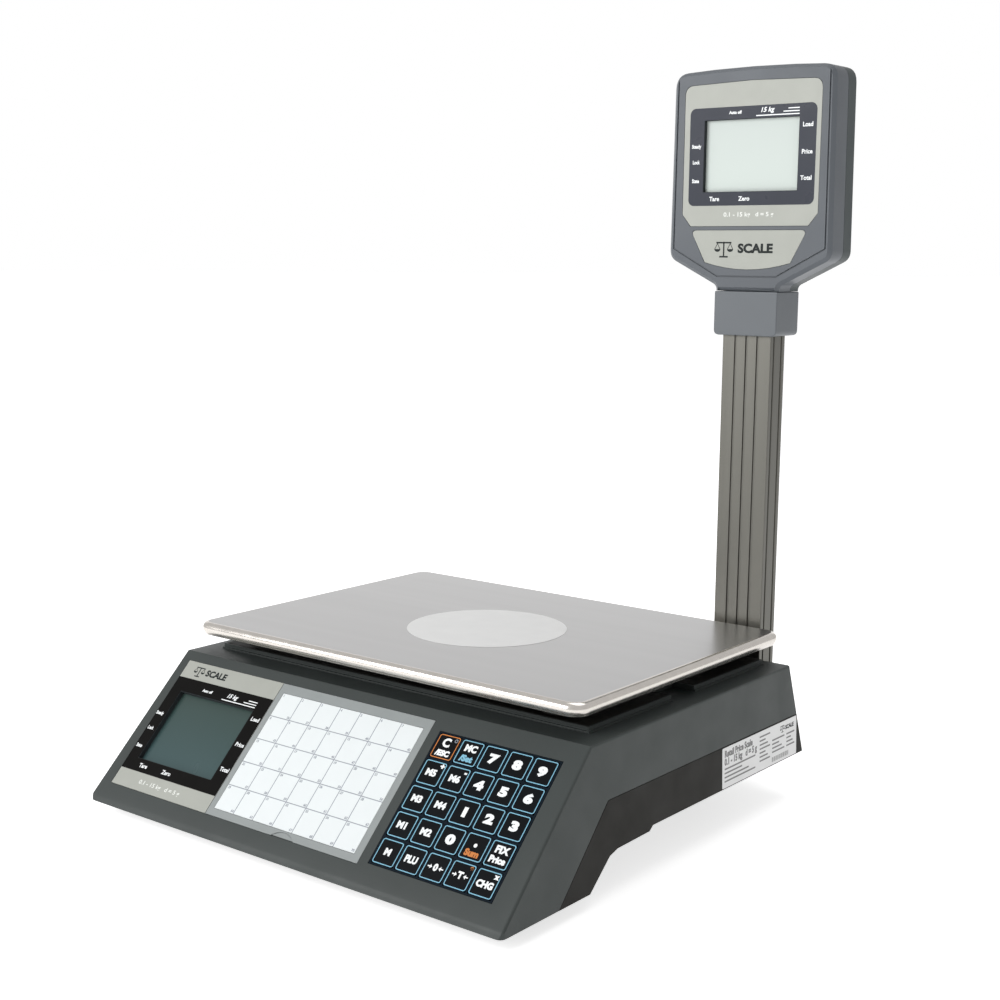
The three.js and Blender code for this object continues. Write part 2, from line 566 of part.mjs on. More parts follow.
// ---------- display head ----------
// Half of the outline as corners going up, mirrored for the other half.
function headOutline(inset) {
  const neck = COLLAR.halfX - inset;
  const half = [[neck, HEAD.neckZ + inset, 0], [neck, HEAD.shoulderZ + inset * 1.3, 5],
    [HEAD_HALF_LOW - inset, HEAD.hipZ + inset * 0.6, 9], [HEAD_HALF_TOP - inset, HEAD.topZ - inset, 11],
    [HEAD_HALF_TOP / 2, HEAD.archZ - 0.5 - inset, 0]];
  const right = half.map(([x, z, r]) => [COLUMN_X + x, z, r]);
  const left = half.map(([x, z, r]) => [COLUMN_X - x, z, r]).reverse();
  return roundedOutline([...right, [COLUMN_X, HEAD.archZ - inset, 0], ...left]);
}

// The line of the groove around the raised face, left open at the top edge.
function faceOutline(inset) {
  const { lowX, lowZ, topX, waistX, kneeZ } = FACE;
  const above = HEAD.archZ + 2 * PAST;
  const half = [
    [waistX - inset * 0.5, kneeZ + inset], [lowX - inset, lowZ + inset * 0.6], [topX - inset, above],
  ];
  const right = half.map(([x, z]) => [COLUMN_X + x, z, 0]);
  const left = half.map(([x, z]) => [COLUMN_X - x, z, 0]).reverse();
  return roundedOutline([...right, ...left]);
}

// The silver plate: cut lower corners, rounded upper ones and a slightly crowned top edge.
function overlayOutline(grow) {
  const { halfX, z0, topZ, cut, crown, corner } = OVERLAY;
  const side = halfX + grow;
  const half = [
    [side - cut, z0 - grow, 1.5], [side, z0 + 1.2 * cut, 1.5], [side, topZ - crown + grow, corner],
  ];
  const right = half.map(([x, z, r]) => [COLUMN_X + x, z, r]);
  const left = half.map(([x, z, r]) => [COLUMN_X - x, z, r]).reverse();
  return roundedOutline([...right, [COLUMN_X, topZ + grow, 0], ...left]);
}

// The badge narrows downwards and ends in a shallow bow.
function badgeOutline(grow) {
  const { halfX, lowX, z0, z1, bow, corner } = BADGE;
  const facets = 8;
  const outline = [];
  for (let i = 0; i <= facets; i += 1) {
    const share = 2 * i / facets - 1;
    outline.push([COLUMN_X + share * (lowX + grow), z0 - grow + bow * share ** 2, 0]);
  }
  outline.push([COLUMN_X + halfX + grow, z1 + grow, corner], [COLUMN_X - halfX - grow, z1 + grow, corner]);
  return roundedOutline(outline);
}

// The head's display window, grown on every side and running between two depths.
function windowBox(grow, y0, y1) {
  const half = HEAD_WINDOW.halfX + grow;
  return box(COLUMN_X - half, COLUMN_X + half, y0, y1, HEAD_WINDOW.z0 - grow, HEAD_WINDOW.z1 + grow);
}

function neckPassage() {
  const { halfX, halfY } = CABLE_SLEEVE;
  return box(COLUMN_X - halfX, COLUMN_X + halfX, COLUMN_Y - halfY, HEAD.split + halfY,
    HEAD.neckZ - 1, HEAD.neckZ + 6);
}

function headFrontCover() {
  const { y0, split, frontEdge, frontWall } = HEAD;
  let cover = slabY(headOutline(0), y0, split - GAP, frontEdge);
  cover = cover.subtract(slabY(headOutline(HEAD_WALL), y0 + frontWall, split + PAST));
  const groove = slabY(faceOutline(0), y0 - PAST, y0 + FACE.depth)
    .subtract(slabY(faceOutline(FACE.width), y0 - 2 * PAST, y0 + 2 * FACE.depth));
  cover = cover.subtract(groove);
  cover = cover.subtract(slabY(overlayOutline(GAP), y0 - PAST, y0 + OVERLAY.recess));
  cover = cover.subtract(slabY(badgeOutline(GAP), y0 - PAST, y0 + OVERLAY.recess));
  return cover.subtract(windowBox(GAP, y0 - PAST, y0 + PAST)).subtract(neckPassage());
}

function headRearCover() {
  const { y1, split, rearEdge } = HEAD;
  const outer = slabY(headOutline(0), split, y1, rearEdge);
  const mirrored = outer.rotate([0, 0, 180]).translate([2 * COLUMN_X, split + y1, 0]);
  const inner = slabY(headOutline(HEAD_WALL), split - PAST, y1 - HEAD_WALL);
  return mirrored.subtract(inner).subtract(neckPassage());
}

// A thin plate lying in its recess in the head's front.
function headPlate(outline) {
  const front = HEAD.y0 + OVERLAY.recess - GAP - OVERLAY.sheet;
  return slabY(outline, front, front + OVERLAY.sheet);
}

const headOverlay = () => headPlate(overlayOutline(0)).subtract(windowBox(0, 0, FAR));
const headBadge = () => headPlate(badgeOutline(0));

function headBoard() {
  const { halfX, z0, z1, set, sheet } = HEAD_BOARD;
  return box(COLUMN_X - halfX, COLUMN_X + halfX, HEAD.y0 + set, HEAD.y0 + set + sheet, z0, z1);
}

// ---------- operator panel pieces, in panel coordinates ----------
const film = ({ x0, x1, s0, s1 }, n0, n1, inset = 0) =>
  box(x0 + inset, x1 - inset, s0 + inset, s1 - inset, n0, n1);

const displayOverlay = () => film(DISPLAY, FILM.n0, FILM.n1).subtract(film(LCD, -PAST, PAST));

// The display glass lies behind the housing's wall and laps it all round.
const operatorLcd = () => film(LCD, -WALL - GAP - LCD_SHEET, -WALL - GAP, -LCD_LAP);

function pluFrame() {
  const { x, s, r } = THUMB_NOTCH;
  return film(PLU, FILM.n0, FILM.n1)
    .subtract(film(CARD, -PAST, PAST, -GAP))
    .subtract(rodZ(x, s, -PAST, PAST, r, 48));
}

// Centre of a key, counted from the top row and the left column.
function keyCentre(row, col) {
  const middleX = (KEYPAD.x0 + KEYPAD.x1) / 2;
  const middleS = (KEYPAD.s0 + KEYPAD.s1) / 2;
  return [middleX + (col - 2) * KEY_PITCH, middleS + (2 - row) * KEY_PITCH];
}

function keypadFrame() {
  let frame = film(KEYPAD, -KEY_WELL + GAP, 0);
  const half = KEY_SIZE / 2 + GAP;
  KEY_ROWS.forEach((names, row) => names.forEach((name, col) => {
    const [x, s] = keyCentre(row, col);
    frame = frame.subtract(box(x - half, x + half, s - half, s + half, -PAST, PAST));
  }));
  return frame;
}

function keyCap() {
  const half = KEY_SIZE / 2;
  const { n0, n1, corner } = KEY_CAP;
  const outline = roundedRectangle(-half, half, -half, half, corner);
  const options = { depth: n1 - n0, bevelEnabled: false, curveSegments: 2 };
  return new THREE.ExtrudeGeometry(outline, options).translate(0, 0, n0);
}

// ---------- materials ----------
const finish = (color, roughness, metalness = 0) => ({ color, roughness, metalness });
const SLATE = finish(0x53575a, 0.55);
const DARK_SLATE = finish(0x3c3a36, 0.6);
const SILVER = finish(0xbabcb4, 0.4, 0.5);
const BLACK = finish(0x101216, 0.35);
const STEEL = finish(0xb9b9b6, 0.25, 1);
const ALUMINIUM = finish(0x87847d, 0.4, 0.9);
const RUBBER = finish(0x1c1c1d, 0.85);
const CARD_WHITE = finish(0xf0f1ef, 0.5);
const BOARD_GREEN = finish(0x1f5a35, 0.6);
const GLASS_GREY = finish(0x4b5c5a, 0.15);
const GLASS_PALE = finish(0xd4dcd7, 0.3);
const HEAD_GREY = finish(0x6d7074, 0.5);
const FILM_GREY = finish(0x9ba3a0, 0.45, 0.3);
const LIQUID = finish(0xa9c23a, 0.15);

const scale = new THREE.Group();
const layout = new THREE.Group();
const panel = new THREE.Group();
panel.position.set(0, LIP.y, LIP.z);
panel.rotation.x = PANEL_TILT;
layout.add(panel);
scale.add(layout);

function place(name, shape, look, parent = layout) {
  const geometry = shape.isBufferGeometry ? shape : geometryOf(shape);
  const mesh = new THREE.Mesh(geometry, new THREE.MeshStandardMaterial({ ...look, flatShading: true }));
  mesh.name = name;
  parent.add(mesh);
  return mesh;
}

// ---------- assembly ----------
function addBase() {
  place('upper_housing', upperHousing(), SLATE);
  place('lower_housing', lowerHousing(), DARK_SLATE);
  place('battery_door', batteryDoor(), DARK_SLATE);
  place('battery', battery(), BLACK);
  place('load_cell', loadCell(), ALUMINIUM);
  place('power_inlet', powerInlet(), BLACK);
  place('power_rocker', powerRocker(), BLACK);
  place('level_vial', rodZ(VIAL.x, VIAL.y, VIAL.z0, VIAL.z1, VIAL.r), LIQUID);
}

function addPanelPieces() {
  place('operator_overlay', displayOverlay(), SILVER, panel);
  place('operator_lcd', operatorLcd(), GLASS_GREY, panel);
  place('plu_frame', pluFrame(), FILM_GREY, panel);
  place('plu_card', film(CARD, FILM.n0, FILM.n1), CARD_WHITE, panel);
  place('keypad_frame', keypadFrame(), BLACK, panel);
  place('main_board', film(MAIN_BOARD, MAIN_BOARD.n0, MAIN_BOARD.n1), BOARD_GREEN, panel);
  KEY_ROWS.forEach((names, row) => names.forEach((name, col) => {
    const [x, s] = keyCentre(row, col);
    place(name, keyCap(), BLACK, panel).position.set(x, s, 0);
  }));
}

function addPlatform() {
  place('load_bracket', loadBracket(), STEEL);
  place('platter_support', platterSupport(), DARK_SLATE);
  place('platter', platter(), STEEL);
}

function addFeet() {
  FEET_XY.forEach(([x, y], i) => {
    place(`foot_pad_${FOOT_NAMES[i]}`, footPad(), RUBBER).position.set(x, y, -FOOT_DROP);
    place(`foot_stud_${FOOT_NAMES[i]}`, footStud(), STEEL).position.set(x, y, -FOOT_DROP);
  });
}

function addPole() {
  place('column_bracket', columnShoe(), DARK_SLATE);
  place('column', column(), ALUMINIUM).position.set(COLUMN_X, COLUMN_Y, COLUMN.z0);
  place('column_cable', columnCable(), RUBBER);
  place('head_collar', headCollar(), HEAD_GREY);
  place('head_front_cover', headFrontCover(), HEAD_GREY);
  place('head_rear_cover', headRearCover(), SLATE);
  place('head_overlay', headOverlay(), SILVER);
  place('head_badge', headBadge(), SILVER);
  const glassY = HEAD.y0 + HEAD.frontWall + GAP;
  place('head_lcd', windowBox(LCD_LAP, glassY, glassY + LCD_SHEET), GLASS_PALE);
  place('head_board', headBoard(), BOARD_GREEN);
}

addBase();
addPanelPieces();
addPlatform();
addFeet();
addPole();

// The origin goes to the centre of the whole box, on the counter under the foot pads.
const rightmost = COLUMN_X + HEAD_HALF_LOW;
layout.position.set((BASE_HALF_WIDTH - rightmost) / 2, -HEAD.y1 / 2, FOOT_DROP);

export default scale;
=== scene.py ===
import json
import math

import bmesh
import bpy
from mathutils import Matrix, Vector


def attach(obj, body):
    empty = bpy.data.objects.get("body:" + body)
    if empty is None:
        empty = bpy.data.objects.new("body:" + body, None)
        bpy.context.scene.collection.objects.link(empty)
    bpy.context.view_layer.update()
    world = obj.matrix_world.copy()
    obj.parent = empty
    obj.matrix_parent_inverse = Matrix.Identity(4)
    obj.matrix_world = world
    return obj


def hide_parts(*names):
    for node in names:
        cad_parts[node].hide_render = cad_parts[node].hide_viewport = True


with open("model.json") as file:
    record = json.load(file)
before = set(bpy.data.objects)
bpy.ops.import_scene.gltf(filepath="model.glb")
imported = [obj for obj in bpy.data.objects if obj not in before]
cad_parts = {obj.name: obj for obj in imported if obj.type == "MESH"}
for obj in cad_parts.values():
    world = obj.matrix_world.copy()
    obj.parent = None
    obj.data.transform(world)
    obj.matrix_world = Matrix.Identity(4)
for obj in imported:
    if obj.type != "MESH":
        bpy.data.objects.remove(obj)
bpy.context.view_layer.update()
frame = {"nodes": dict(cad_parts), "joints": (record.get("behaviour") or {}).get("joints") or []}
NODES = frame["nodes"]
JOINTS = {joint["name"]: joint for joint in frame["joints"]}
MM = 0.001

# ---------- camera ----------
CAMERA_PLACE = Vector((0.7001, -0.8536, 0.3933))
CAMERA_AZIMUTH, CAMERA_DOWN, CAMERA_ROLL = 38.67, 9.75, 0.4      # degrees
CAMERA_LENS, CAMERA_SENSOR = 57.15, 36                            # mm
CAMERA_SHIFT = (0.011, 0.0254)


def make_camera():
    azimuth, down, roll = (math.radians(a) for a in (CAMERA_AZIMUTH, CAMERA_DOWN, CAMERA_ROLL))
    ahead = Vector((-math.sin(azimuth) * math.cos(down), math.cos(azimuth) * math.cos(down), -math.sin(down)))
    level = Vector((math.cos(azimuth), math.sin(azimuth), 0))
    over = level.cross(ahead)
    right = level * math.cos(roll) + over * math.sin(roll)
    up = over * math.cos(roll) - level * math.sin(roll)
    camera = bpy.data.objects.new("camera", bpy.data.cameras.new("camera"))
    camera.data.lens = CAMERA_LENS
    camera.data.sensor_width = CAMERA_SENSOR
    camera.data.shift_x, camera.data.shift_y = CAMERA_SHIFT
    camera.matrix_world = Matrix.Translation(CAMERA_PLACE) @ Matrix((right, up, -ahead)).transposed().to_4x4()
    bpy.context.scene.collection.objects.link(camera)
    bpy.context.scene.camera = camera


make_camera()


# ---------- materials ----------
def srgb(red, green, blue):
    """Linear colour of an 8-bit sRGB one."""
    def linear(value):
        share = value / 255
        return share / 12.92 if share <= 0.04045 else ((share + 0.055) / 1.055) ** 2.4
    return tuple(linear(v) for v in (red, green, blue))


class Surface:
    """A principled material whose colour, roughness and bump come from noise in the object's own frame."""

    def __init__(self, name, metallic=0.0, specular=0.5, coat=0.0, coat_roughness=0.1):
        self.material = bpy.data.materials.new(name)
        self.material.use_nodes = True
        self.tree = self.material.node_tree
        self.shader = self.tree.nodes["Principled BSDF"]
        self.shader.inputs["Metallic"].default_value = metallic
        self.shader.inputs["Specular IOR Level"].default_value = specular
        self.shader.inputs["Coat Weight"].default_value = coat
        self.shader.inputs["Coat Roughness"].default_value = coat_roughness
        self.coords = self.tree.nodes.new("ShaderNodeTexCoord").outputs["Object"]

    def link(self, output, socket):
        self.tree.links.new(output, socket)

    def noise(self, scale, stretch=(1, 1, 1), detail=3.0):
        mapping = self.tree.nodes.new("ShaderNodeMapping")
        mapping.inputs["Scale"].default_value = stretch
        self.link(self.coords, mapping.inputs["Vector"])
        texture = self.tree.nodes.new("ShaderNodeTexNoise")
        texture.inputs["Scale"].default_value = scale
        texture.inputs["Detail"].default_value = detail
        self.link(mapping.outputs["Vector"], texture.inputs["Vector"])
        return texture.outputs["Fac"]

    def ramp(self, factor, stops):
        node = self.tree.nodes.new("ShaderNodeValToRGB")
        elements = node.color_ramp.elements
        while len(elements) < len(stops):
            elements.new(0.5)
        for element, (position, color) in zip(elements, stops):
            element.position = position
            element.color = (*color, 1)
        self.link(factor, node.inputs["Fac"])
        return node.outputs["Color"]

    def color(self, color, spread=0.06, scale=14, stretch=(1, 1, 1)):
        """Colour that drifts by a share of itself over the surface."""
        factor = self.noise(scale, stretch)
        darker = tuple(c * (1 - spread) for c in color)
        lighter = tuple(min(1.0, c * (1 + spread)) for c in color)
        self.link(self.ramp(factor, [(0.3, darker), (0.7, lighter)]), self.shader.inputs["Base Color"])
        return self

    def gradient(self, axis, low, high, stops):
        """Colour that changes along an axis of the object's frame, between two distances along it."""
        dot = self.tree.nodes.new("ShaderNodeVectorMath")
        dot.operation = "DOT_PRODUCT"
        dot.inputs[1].default_value = axis
        self.link(self.coords, dot.inputs[0])
        span = self.tree.nodes.new("ShaderNodeMapRange")
        span.inputs["From Min"].default_value = low
        span.inputs["From Max"].default_value = high
        self.link(dot.outputs["Value"], span.inputs["Value"])
        self.link(self.ramp(span.outputs["Result"], stops), self.shader.inputs["Base Color"])
        return self

    def gloss(self, low, high, scale=30, stretch=(1, 1, 1)):
        """Roughness that varies between two values."""
        span = self.tree.nodes.new("ShaderNodeMapRange")
        span.inputs["From Min"].default_value = 0.3
        span.inputs["From Max"].default_value = 0.7
        span.inputs["To Min"].default_value = low
        span.inputs["To Max"].default_value = high
        self.link(self.noise(scale, stretch), span.inputs["Value"])
        self.link(span.outputs["Result"], self.shader.inputs["Roughness"])
        return self

    def grain(self, scale, depth, strength, stretch=(1, 1, 1)):
        """Bump from fine noise, depth in metres."""
        bump = self.tree.nodes.new("ShaderNodeBump")
        bump.inputs["Strength"].default_value = strength
        bump.inputs["Distance"].default_value = depth
        self.link(self.noise(scale, stretch, detail=2.0), bump.inputs["Height"])
        self.link(bump.outputs["Normal"], self.shader.inputs["Normal"])
        return self


def moulded(name, color, roughness, spread=0.05, specular=0.25):
    """Injection-moulded plastic with a fine spark-eroded texture."""
    made = Surface(name, specular=specular)
    made.color(color, spread, 9).gloss(roughness - 0.06, roughness + 0.06, 40).grain(1500, 0.00012, 0.25)
    return made.material


def printed(name, color, roughness=0.4, spread=0.03, specular=0.3):
    """Ink or a printed film: nearly even, with a faint orange-peel."""
    made = Surface(name, specular=specular)
    made.color(color, spread, 60).gloss(roughness - 0.04, roughness + 0.04, 80).grain(700, 0.00002, 0.2)
    return made.material


def drawn_metal(name, color, roughness, stretch, spread=0.05, scale=60, depth=0.00002, vary=0.15):
    """Metal with fine lines along one direction."""
    made = Surface(name, metallic=1.0)
    made.color(color, spread, scale, stretch)
    made.gloss(roughness * (1 - vary), roughness * (1 + vary), scale, stretch)
    made.grain(scale * 12, depth, 0.2, stretch)
    return made.material


ALONG_X = (0.02, 1, 1)
ALONG_Z = (1, 1, 0.02)

HOUSING = moulded("slate_plastic", srgb(57, 62, 61), 0.46)
# Also the colour of the painted shade sheet on the deck top.
HOUSING_DARK = moulded("dark_plastic", srgb(29, 28, 25), 0.55, specular=0.15)
HEAD_PLASTIC = moulded("head_plastic", srgb(93, 97, 102), 0.44)
HEAD_REAR = moulded("head_rear_plastic", srgb(62, 69, 70), 0.46)
COLLAR_PLASTIC = moulded("collar_plastic", srgb(105, 109, 113), 0.44)
BLACK_PLASTIC = moulded("black_plastic", srgb(22, 22, 24), 0.38)
RUBBER = moulded("rubber", srgb(26, 26, 27), 0.85, 0.1, 0.1)
SILVER = printed("silver_film", srgb(165, 167, 160), 0.42, 0.025)
GREY_FILM = printed("grey_film", srgb(144, 149, 149), 0.42)
CARD = printed("card_white", srgb(226, 231, 232), 0.35, 0.01)
KEY_BLACK = printed("key_black", srgb(6, 9, 13), 0.36, 0.2, specular=0.08)
KEY_GAP = printed("keypad_navy", srgb(7, 20, 30), 0.4, 0.15, specular=0.08)
WINDOW_BLACK = printed("window_black", srgb(10, 9, 8), 0.34, 0.1, specular=0.06)
WINDOW_GREY = printed("window_grey", srgb(52, 55, 64), 0.3, 0.04, specular=0.15)
SHADOW_GAP = printed("recess_lining", srgb(44, 48, 50), 0.5, 0.05, specular=0.1)
INK_WHITE = printed("ink_white", srgb(242, 245, 246))
INK_BLUE = printed("ink_blue", srgb(128, 184, 208))
INK_ORANGE = printed("ink_orange", srgb(200, 122, 60))
INK_BLACK = printed("ink_black", srgb(40, 44, 44), specular=0.1)
INK_GREY = printed("ink_grey", srgb(146, 151, 160))
INK_PALE = printed("ink_pale", srgb(226, 228, 224))
LABEL = printed("label_white", srgb(226, 226, 226), 0.35, 0.015)
LABEL_GREY = printed("label_grey", srgb(120, 120, 120))
BOARD = printed("circuit_board", srgb(31, 90, 53), 0.45, 0.1)
STEEL_TOP = drawn_metal("steel_satin", srgb(155, 154, 154), 0.3, ALONG_X, 0.012, 90, 0.000004, 0.05)
# Painted highlight: the rim's steel is painted lighter than the satin top's, though both are one sheet; its
# lower roughness is the real polish.
STEEL_RIM = drawn_metal("steel_polished_painted_highlight", srgb(204, 199, 193), 0.22, (1, 1, 1), 0.03, 160, 0.00003)
STEEL = drawn_metal("steel_plated", srgb(170, 170, 168), 0.32, (1, 1, 1), 0.06)
ALUMINIUM = drawn_metal("aluminium_anodised", srgb(102, 101, 96), 0.42, ALONG_Z, 0.05, 160, 0.00002)
DISC = printed("disc_white", srgb(220, 220, 219), 0.38, 0.015)
BRASS = drawn_metal("brass_contact", srgb(205, 180, 110), 0.3, (1, 1, 1), 0.05)


def level_liquid():
    made = Surface("vial_liquid", coat=1.0, coat_roughness=0.03)
    return made.color(srgb(176, 200, 50), 0.1, 200).gloss(0.08, 0.16).material


# ---------- frames of reference ----------
def basis(across, up, out):
    return Matrix((across, up, out)).transposed().to_4x4()


ACROSS = Vector((1, 0, 0))
PANEL_OUT = -Vector(JOINTS["press_7"]["axis"]).normalized()
PANEL_UP = PANEL_OUT.cross(ACROSS)
PANEL = basis(ACROSS, PANEL_UP, PANEL_OUT)                        # x across, y up the slope, z outwards
HEAD = basis(ACROSS, Vector((0, 0, 1)), Vector((0, -1, 0)))       # x across, y up, z towards the customer
REAR = basis(Vector((-1, 0, 0)), Vector((0, 0, 1)), Vector((0, 1, 0)))
LEFT = basis(Vector((0, -1, 0)), Vector((0, 0, 1)), Vector((-1, 0, 0)))
TOP = Matrix.Identity(4)
UNDER = basis(Vector((1, 0, 0)), Vector((0, -1, 0)), Vector((0, 0, -1)))


def flared_wall(side):
    """Frame of a side wall, which leans out towards its lower edge, and its top edge in that frame."""
    points = [v.co for v in NODES["lower_housing"].data.vertices]
    low, high = min(p.z for p in points), max(p.z for p in points)
    foot = max(side * p.x for p in points if p.z < low + MM)
    head = max(side * p.x for p in points if p.z > high - MM)
    up = Vector((side * (head - foot), 0, high - low)).normalized()
    across = Vector((0, side, 0))
    axes = basis(across, up, across.cross(up))
    return axes, axes.inverted() @ Vector((side * head, 0, high))


class Extent:
    """Where a CAD node lies in a frame: its sides, middle and outermost face."""

    def __init__(self, node, axes):
        points = [axes.inverted() @ v.co for v in NODES[node].data.vertices]
        self.x0, self.x1 = min(p.x for p in points), max(p.x for p in points)
        self.y0, self.y1 = min(p.y for p in points), max(p.y for p in points)
        self.z0, self.z1 = min(p.z for p in points), max(p.z for p in points)
        self.x, self.y = (self.x0 + self.x1) / 2, (self.y0 + self.y1) / 2
        self.width, self.height = self.x1 - self.x0, self.y1 - self.y0


# ---------- outlines ----------
CORNER_STEPS = 6


def rounded(x0, x1, y0, y1, radius, steps=CORNER_STEPS):
    """Points of a rectangle with round corners, anticlockwise."""
    corners = [(x1 - radius, y0 + radius, -90), (x1 - radius, y1 - radius, 0),
               (x0 + radius, y1 - radius, 90), (x0 + radius, y0 + radius, 180)]
    points = []
    for x, y, start in corners:
        for i in range(steps + 1):
            angle = math.radians(start + 90 * i / steps)
            points.append((x + radius * math.cos(angle), y + radius * math.sin(angle)))
    return points


def circle(x, y, radius, steps=32):
    turns = [2 * math.pi * i / steps for i in range(steps)]
    return [(x + radius * math.cos(a), y + radius * math.sin(a)) for a in turns]


# ---------- printed graphics and small pieces ----------
INK = 0.05 * MM


class Piece:
    """Closed solids gathered into one mesh. Each lies on a plane of the given frame and stands out of it."""

    def __init__(self, axes, level):
        self.axes = axes
        self.level = level
        self.mesh = bmesh.new()
        self.materials = []

    def index(self, material):
        if material not in self.materials:
            self.materials.append(material)
        return self.materials.index(material)

    def loop(self, points, height):
        return [self.mesh.verts.new(self.axes @ Vector((x, y, self.level + height))) for x, y in points]

    def skin(self, rings, material, smooth=False):
        """Faces between neighbouring rings of equal length."""
        slot = self.index(material)
        for low, high in zip(rings, rings[1:]):
            for i in range(len(low)):
                j = (i + 1) % len(low)
                face = self.mesh.faces.new((low[i], low[j], high[j], high[i]))
                face.material_index = slot
                face.smooth = smooth

    def cap(self, ring, material, flip=False):
        face = self.mesh.faces.new(list(reversed(ring)) if flip else ring)
        face.material_index = self.index(material)

    def plate(self, points, thickness, material, base=0.0, chamfer=0.0):
        """A flat plate with the given outline, its upper edge chamfered by shrinking about its centre."""
        rings = [self.loop(points, base), self.loop(points, base + thickness - chamfer)]
        if chamfer:
            cx = sum(p[0] for p in points) / len(points)
            cy = sum(p[1] for p in points) / len(points)
            reach = max(math.hypot(x - cx, y - cy) for x, y in points)
            share = 1 - chamfer / reach
            rings.append(self.loop([(cx + (x - cx) * share, cy + (y - cy) * share) for x, y in points],
                                   base + thickness))
        self.skin(rings, material)
        self.cap(rings[0], material, flip=True)
        self.cap(rings[-1], material)
        return self

    def frame(self, outer, inner, thickness, material):
        """A plate with a hole: both outlines have the same number of points."""
        low_out, low_in = self.loop(outer, 0.0), self.loop(inner, 0.0)
        high_out, high_in = self.loop(outer, thickness), self.loop(inner, thickness)
        self.skin([low_out, high_out, high_in, low_in, low_out], material)
        return self

    def words(self, text, x, y, size, material, stretch=1.0, bold=0.0, align="CENTER", slant=0.0):
        """Lettering in the built-in font, centred on a point or aligned to it, as thick as the ink."""
        curve = bpy.data.curves.new("lettering", "FONT")
        curve.body = text
        curve.size = size
        curve.offset = bold
        curve.shear = slant
        curve.extrude = INK / 2
        curve.resolution_u = 3
        curve.align_x, curve.align_y = align, "CENTER"
        holder = bpy.data.objects.new("lettering", curve)
        letters = bpy.data.meshes.new_from_object(holder)
        place = Matrix.Translation((x, y, self.level + INK / 2))
        letters.transform(self.axes @ place @ Matrix.Diagonal((stretch, 1, 1, 1)))
        before = len(self.mesh.faces)
        self.mesh.from_mesh(letters)
        self.mesh.faces.ensure_lookup_table()
        slot = self.index(material)
        for face in self.mesh.faces[before:]:
            face.material_index = slot
        bpy.data.objects.remove(holder)
        bpy.data.meshes.remove(letters)
        bpy.data.curves.remove(curve)
        return self

    def make(self, name, body, slot):
        bmesh.ops.remove_doubles(self.mesh, verts=self.mesh.verts, dist=1e-7)
        bmesh.ops.recalc_face_normals(self.mesh, faces=self.mesh.faces)
        data = bpy.data.meshes.new(name)
        self.mesh.to_mesh(data)
        self.mesh.free()
        for material in self.materials:
            data.materials.append(material)
        piece = bpy.data.objects.new(name, data)
        bpy.context.scene.collection.objects.link(piece)
        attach(piece, body)
        return piece


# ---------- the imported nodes' looks ----------
SHARP_ANGLE, BEVEL_ANGLE, FLAT_ANGLE = (math.radians(a) for a in (30, 32, 0.3))
WELD_REACH = 0.002 * MM


def smoothing_group():
    """A modifier group that shades smooth and keeps edges above the sharp angle."""
    group = bpy.data.node_groups.new("smooth_by_angle", "GeometryNodeTree")
    group.interface.new_socket("Geometry", in_out="INPUT", socket_type="NodeSocketGeometry")
    group.interface.new_socket("Geometry", in_out="OUTPUT", socket_type="NodeSocketGeometry")
    source = group.nodes.new("NodeGroupInput")
    target = group.nodes.new("NodeGroupOutput")
    faces = group.nodes.new("GeometryNodeSetShadeSmooth")
    edges = group.nodes.new("GeometryNodeSetShadeSmooth")
    edges.domain = "EDGE"
    edges.inputs["Shade Smooth"].default_value = False
    angle = group.nodes.new("GeometryNodeInputMeshEdgeAngle")
    sharp = group.nodes.new("FunctionNodeCompare")
    sharp.data_type, sharp.operation = "FLOAT", "GREATER_THAN"
    sharp.inputs["B"].default_value = SHARP_ANGLE
    group.links.new(source.outputs[0], faces.inputs["Geometry"])
    group.links.new(faces.outputs[0], edges.inputs["Geometry"])
    group.links.new(angle.outputs["Unsigned Angle"], sharp.inputs["A"])
    group.links.new(sharp.outputs["Result"], edges.inputs["Selection"])
    group.links.new(edges.outputs[0], target.inputs[0])
    return group


SMOOTHING = smoothing_group()


def finish_node(name, material, width=0.4 * MM, segments=2):
    """Gives a CAD node its material, and rounds its edges with modifiers."""
    node = NODES[name]
    for place in node.material_slots:
        place.material = material
    weld = node.modifiers.new("weld", "WELD")
    weld.merge_threshold = WELD_REACH
    flat = node.modifiers.new("flat", "DECIMATE")
    flat.decimate_type = "DISSOLVE"
    flat.angle_limit = FLAT_ANGLE
    if width:
        bevel = node.modifiers.new("bevel", "BEVEL")
        bevel.width = width
        bevel.segments = segments
        bevel.limit_method = "ANGLE"
        bevel.angle_limit = BEVEL_ANGLE
        bevel.harden_normals = False
    smooth = node.modifiers.new("smooth", "NODES")
    smooth.node_group = SMOOTHING
    node.modifiers.new("weighted", "WEIGHTED_NORMAL").keep_sharp = True


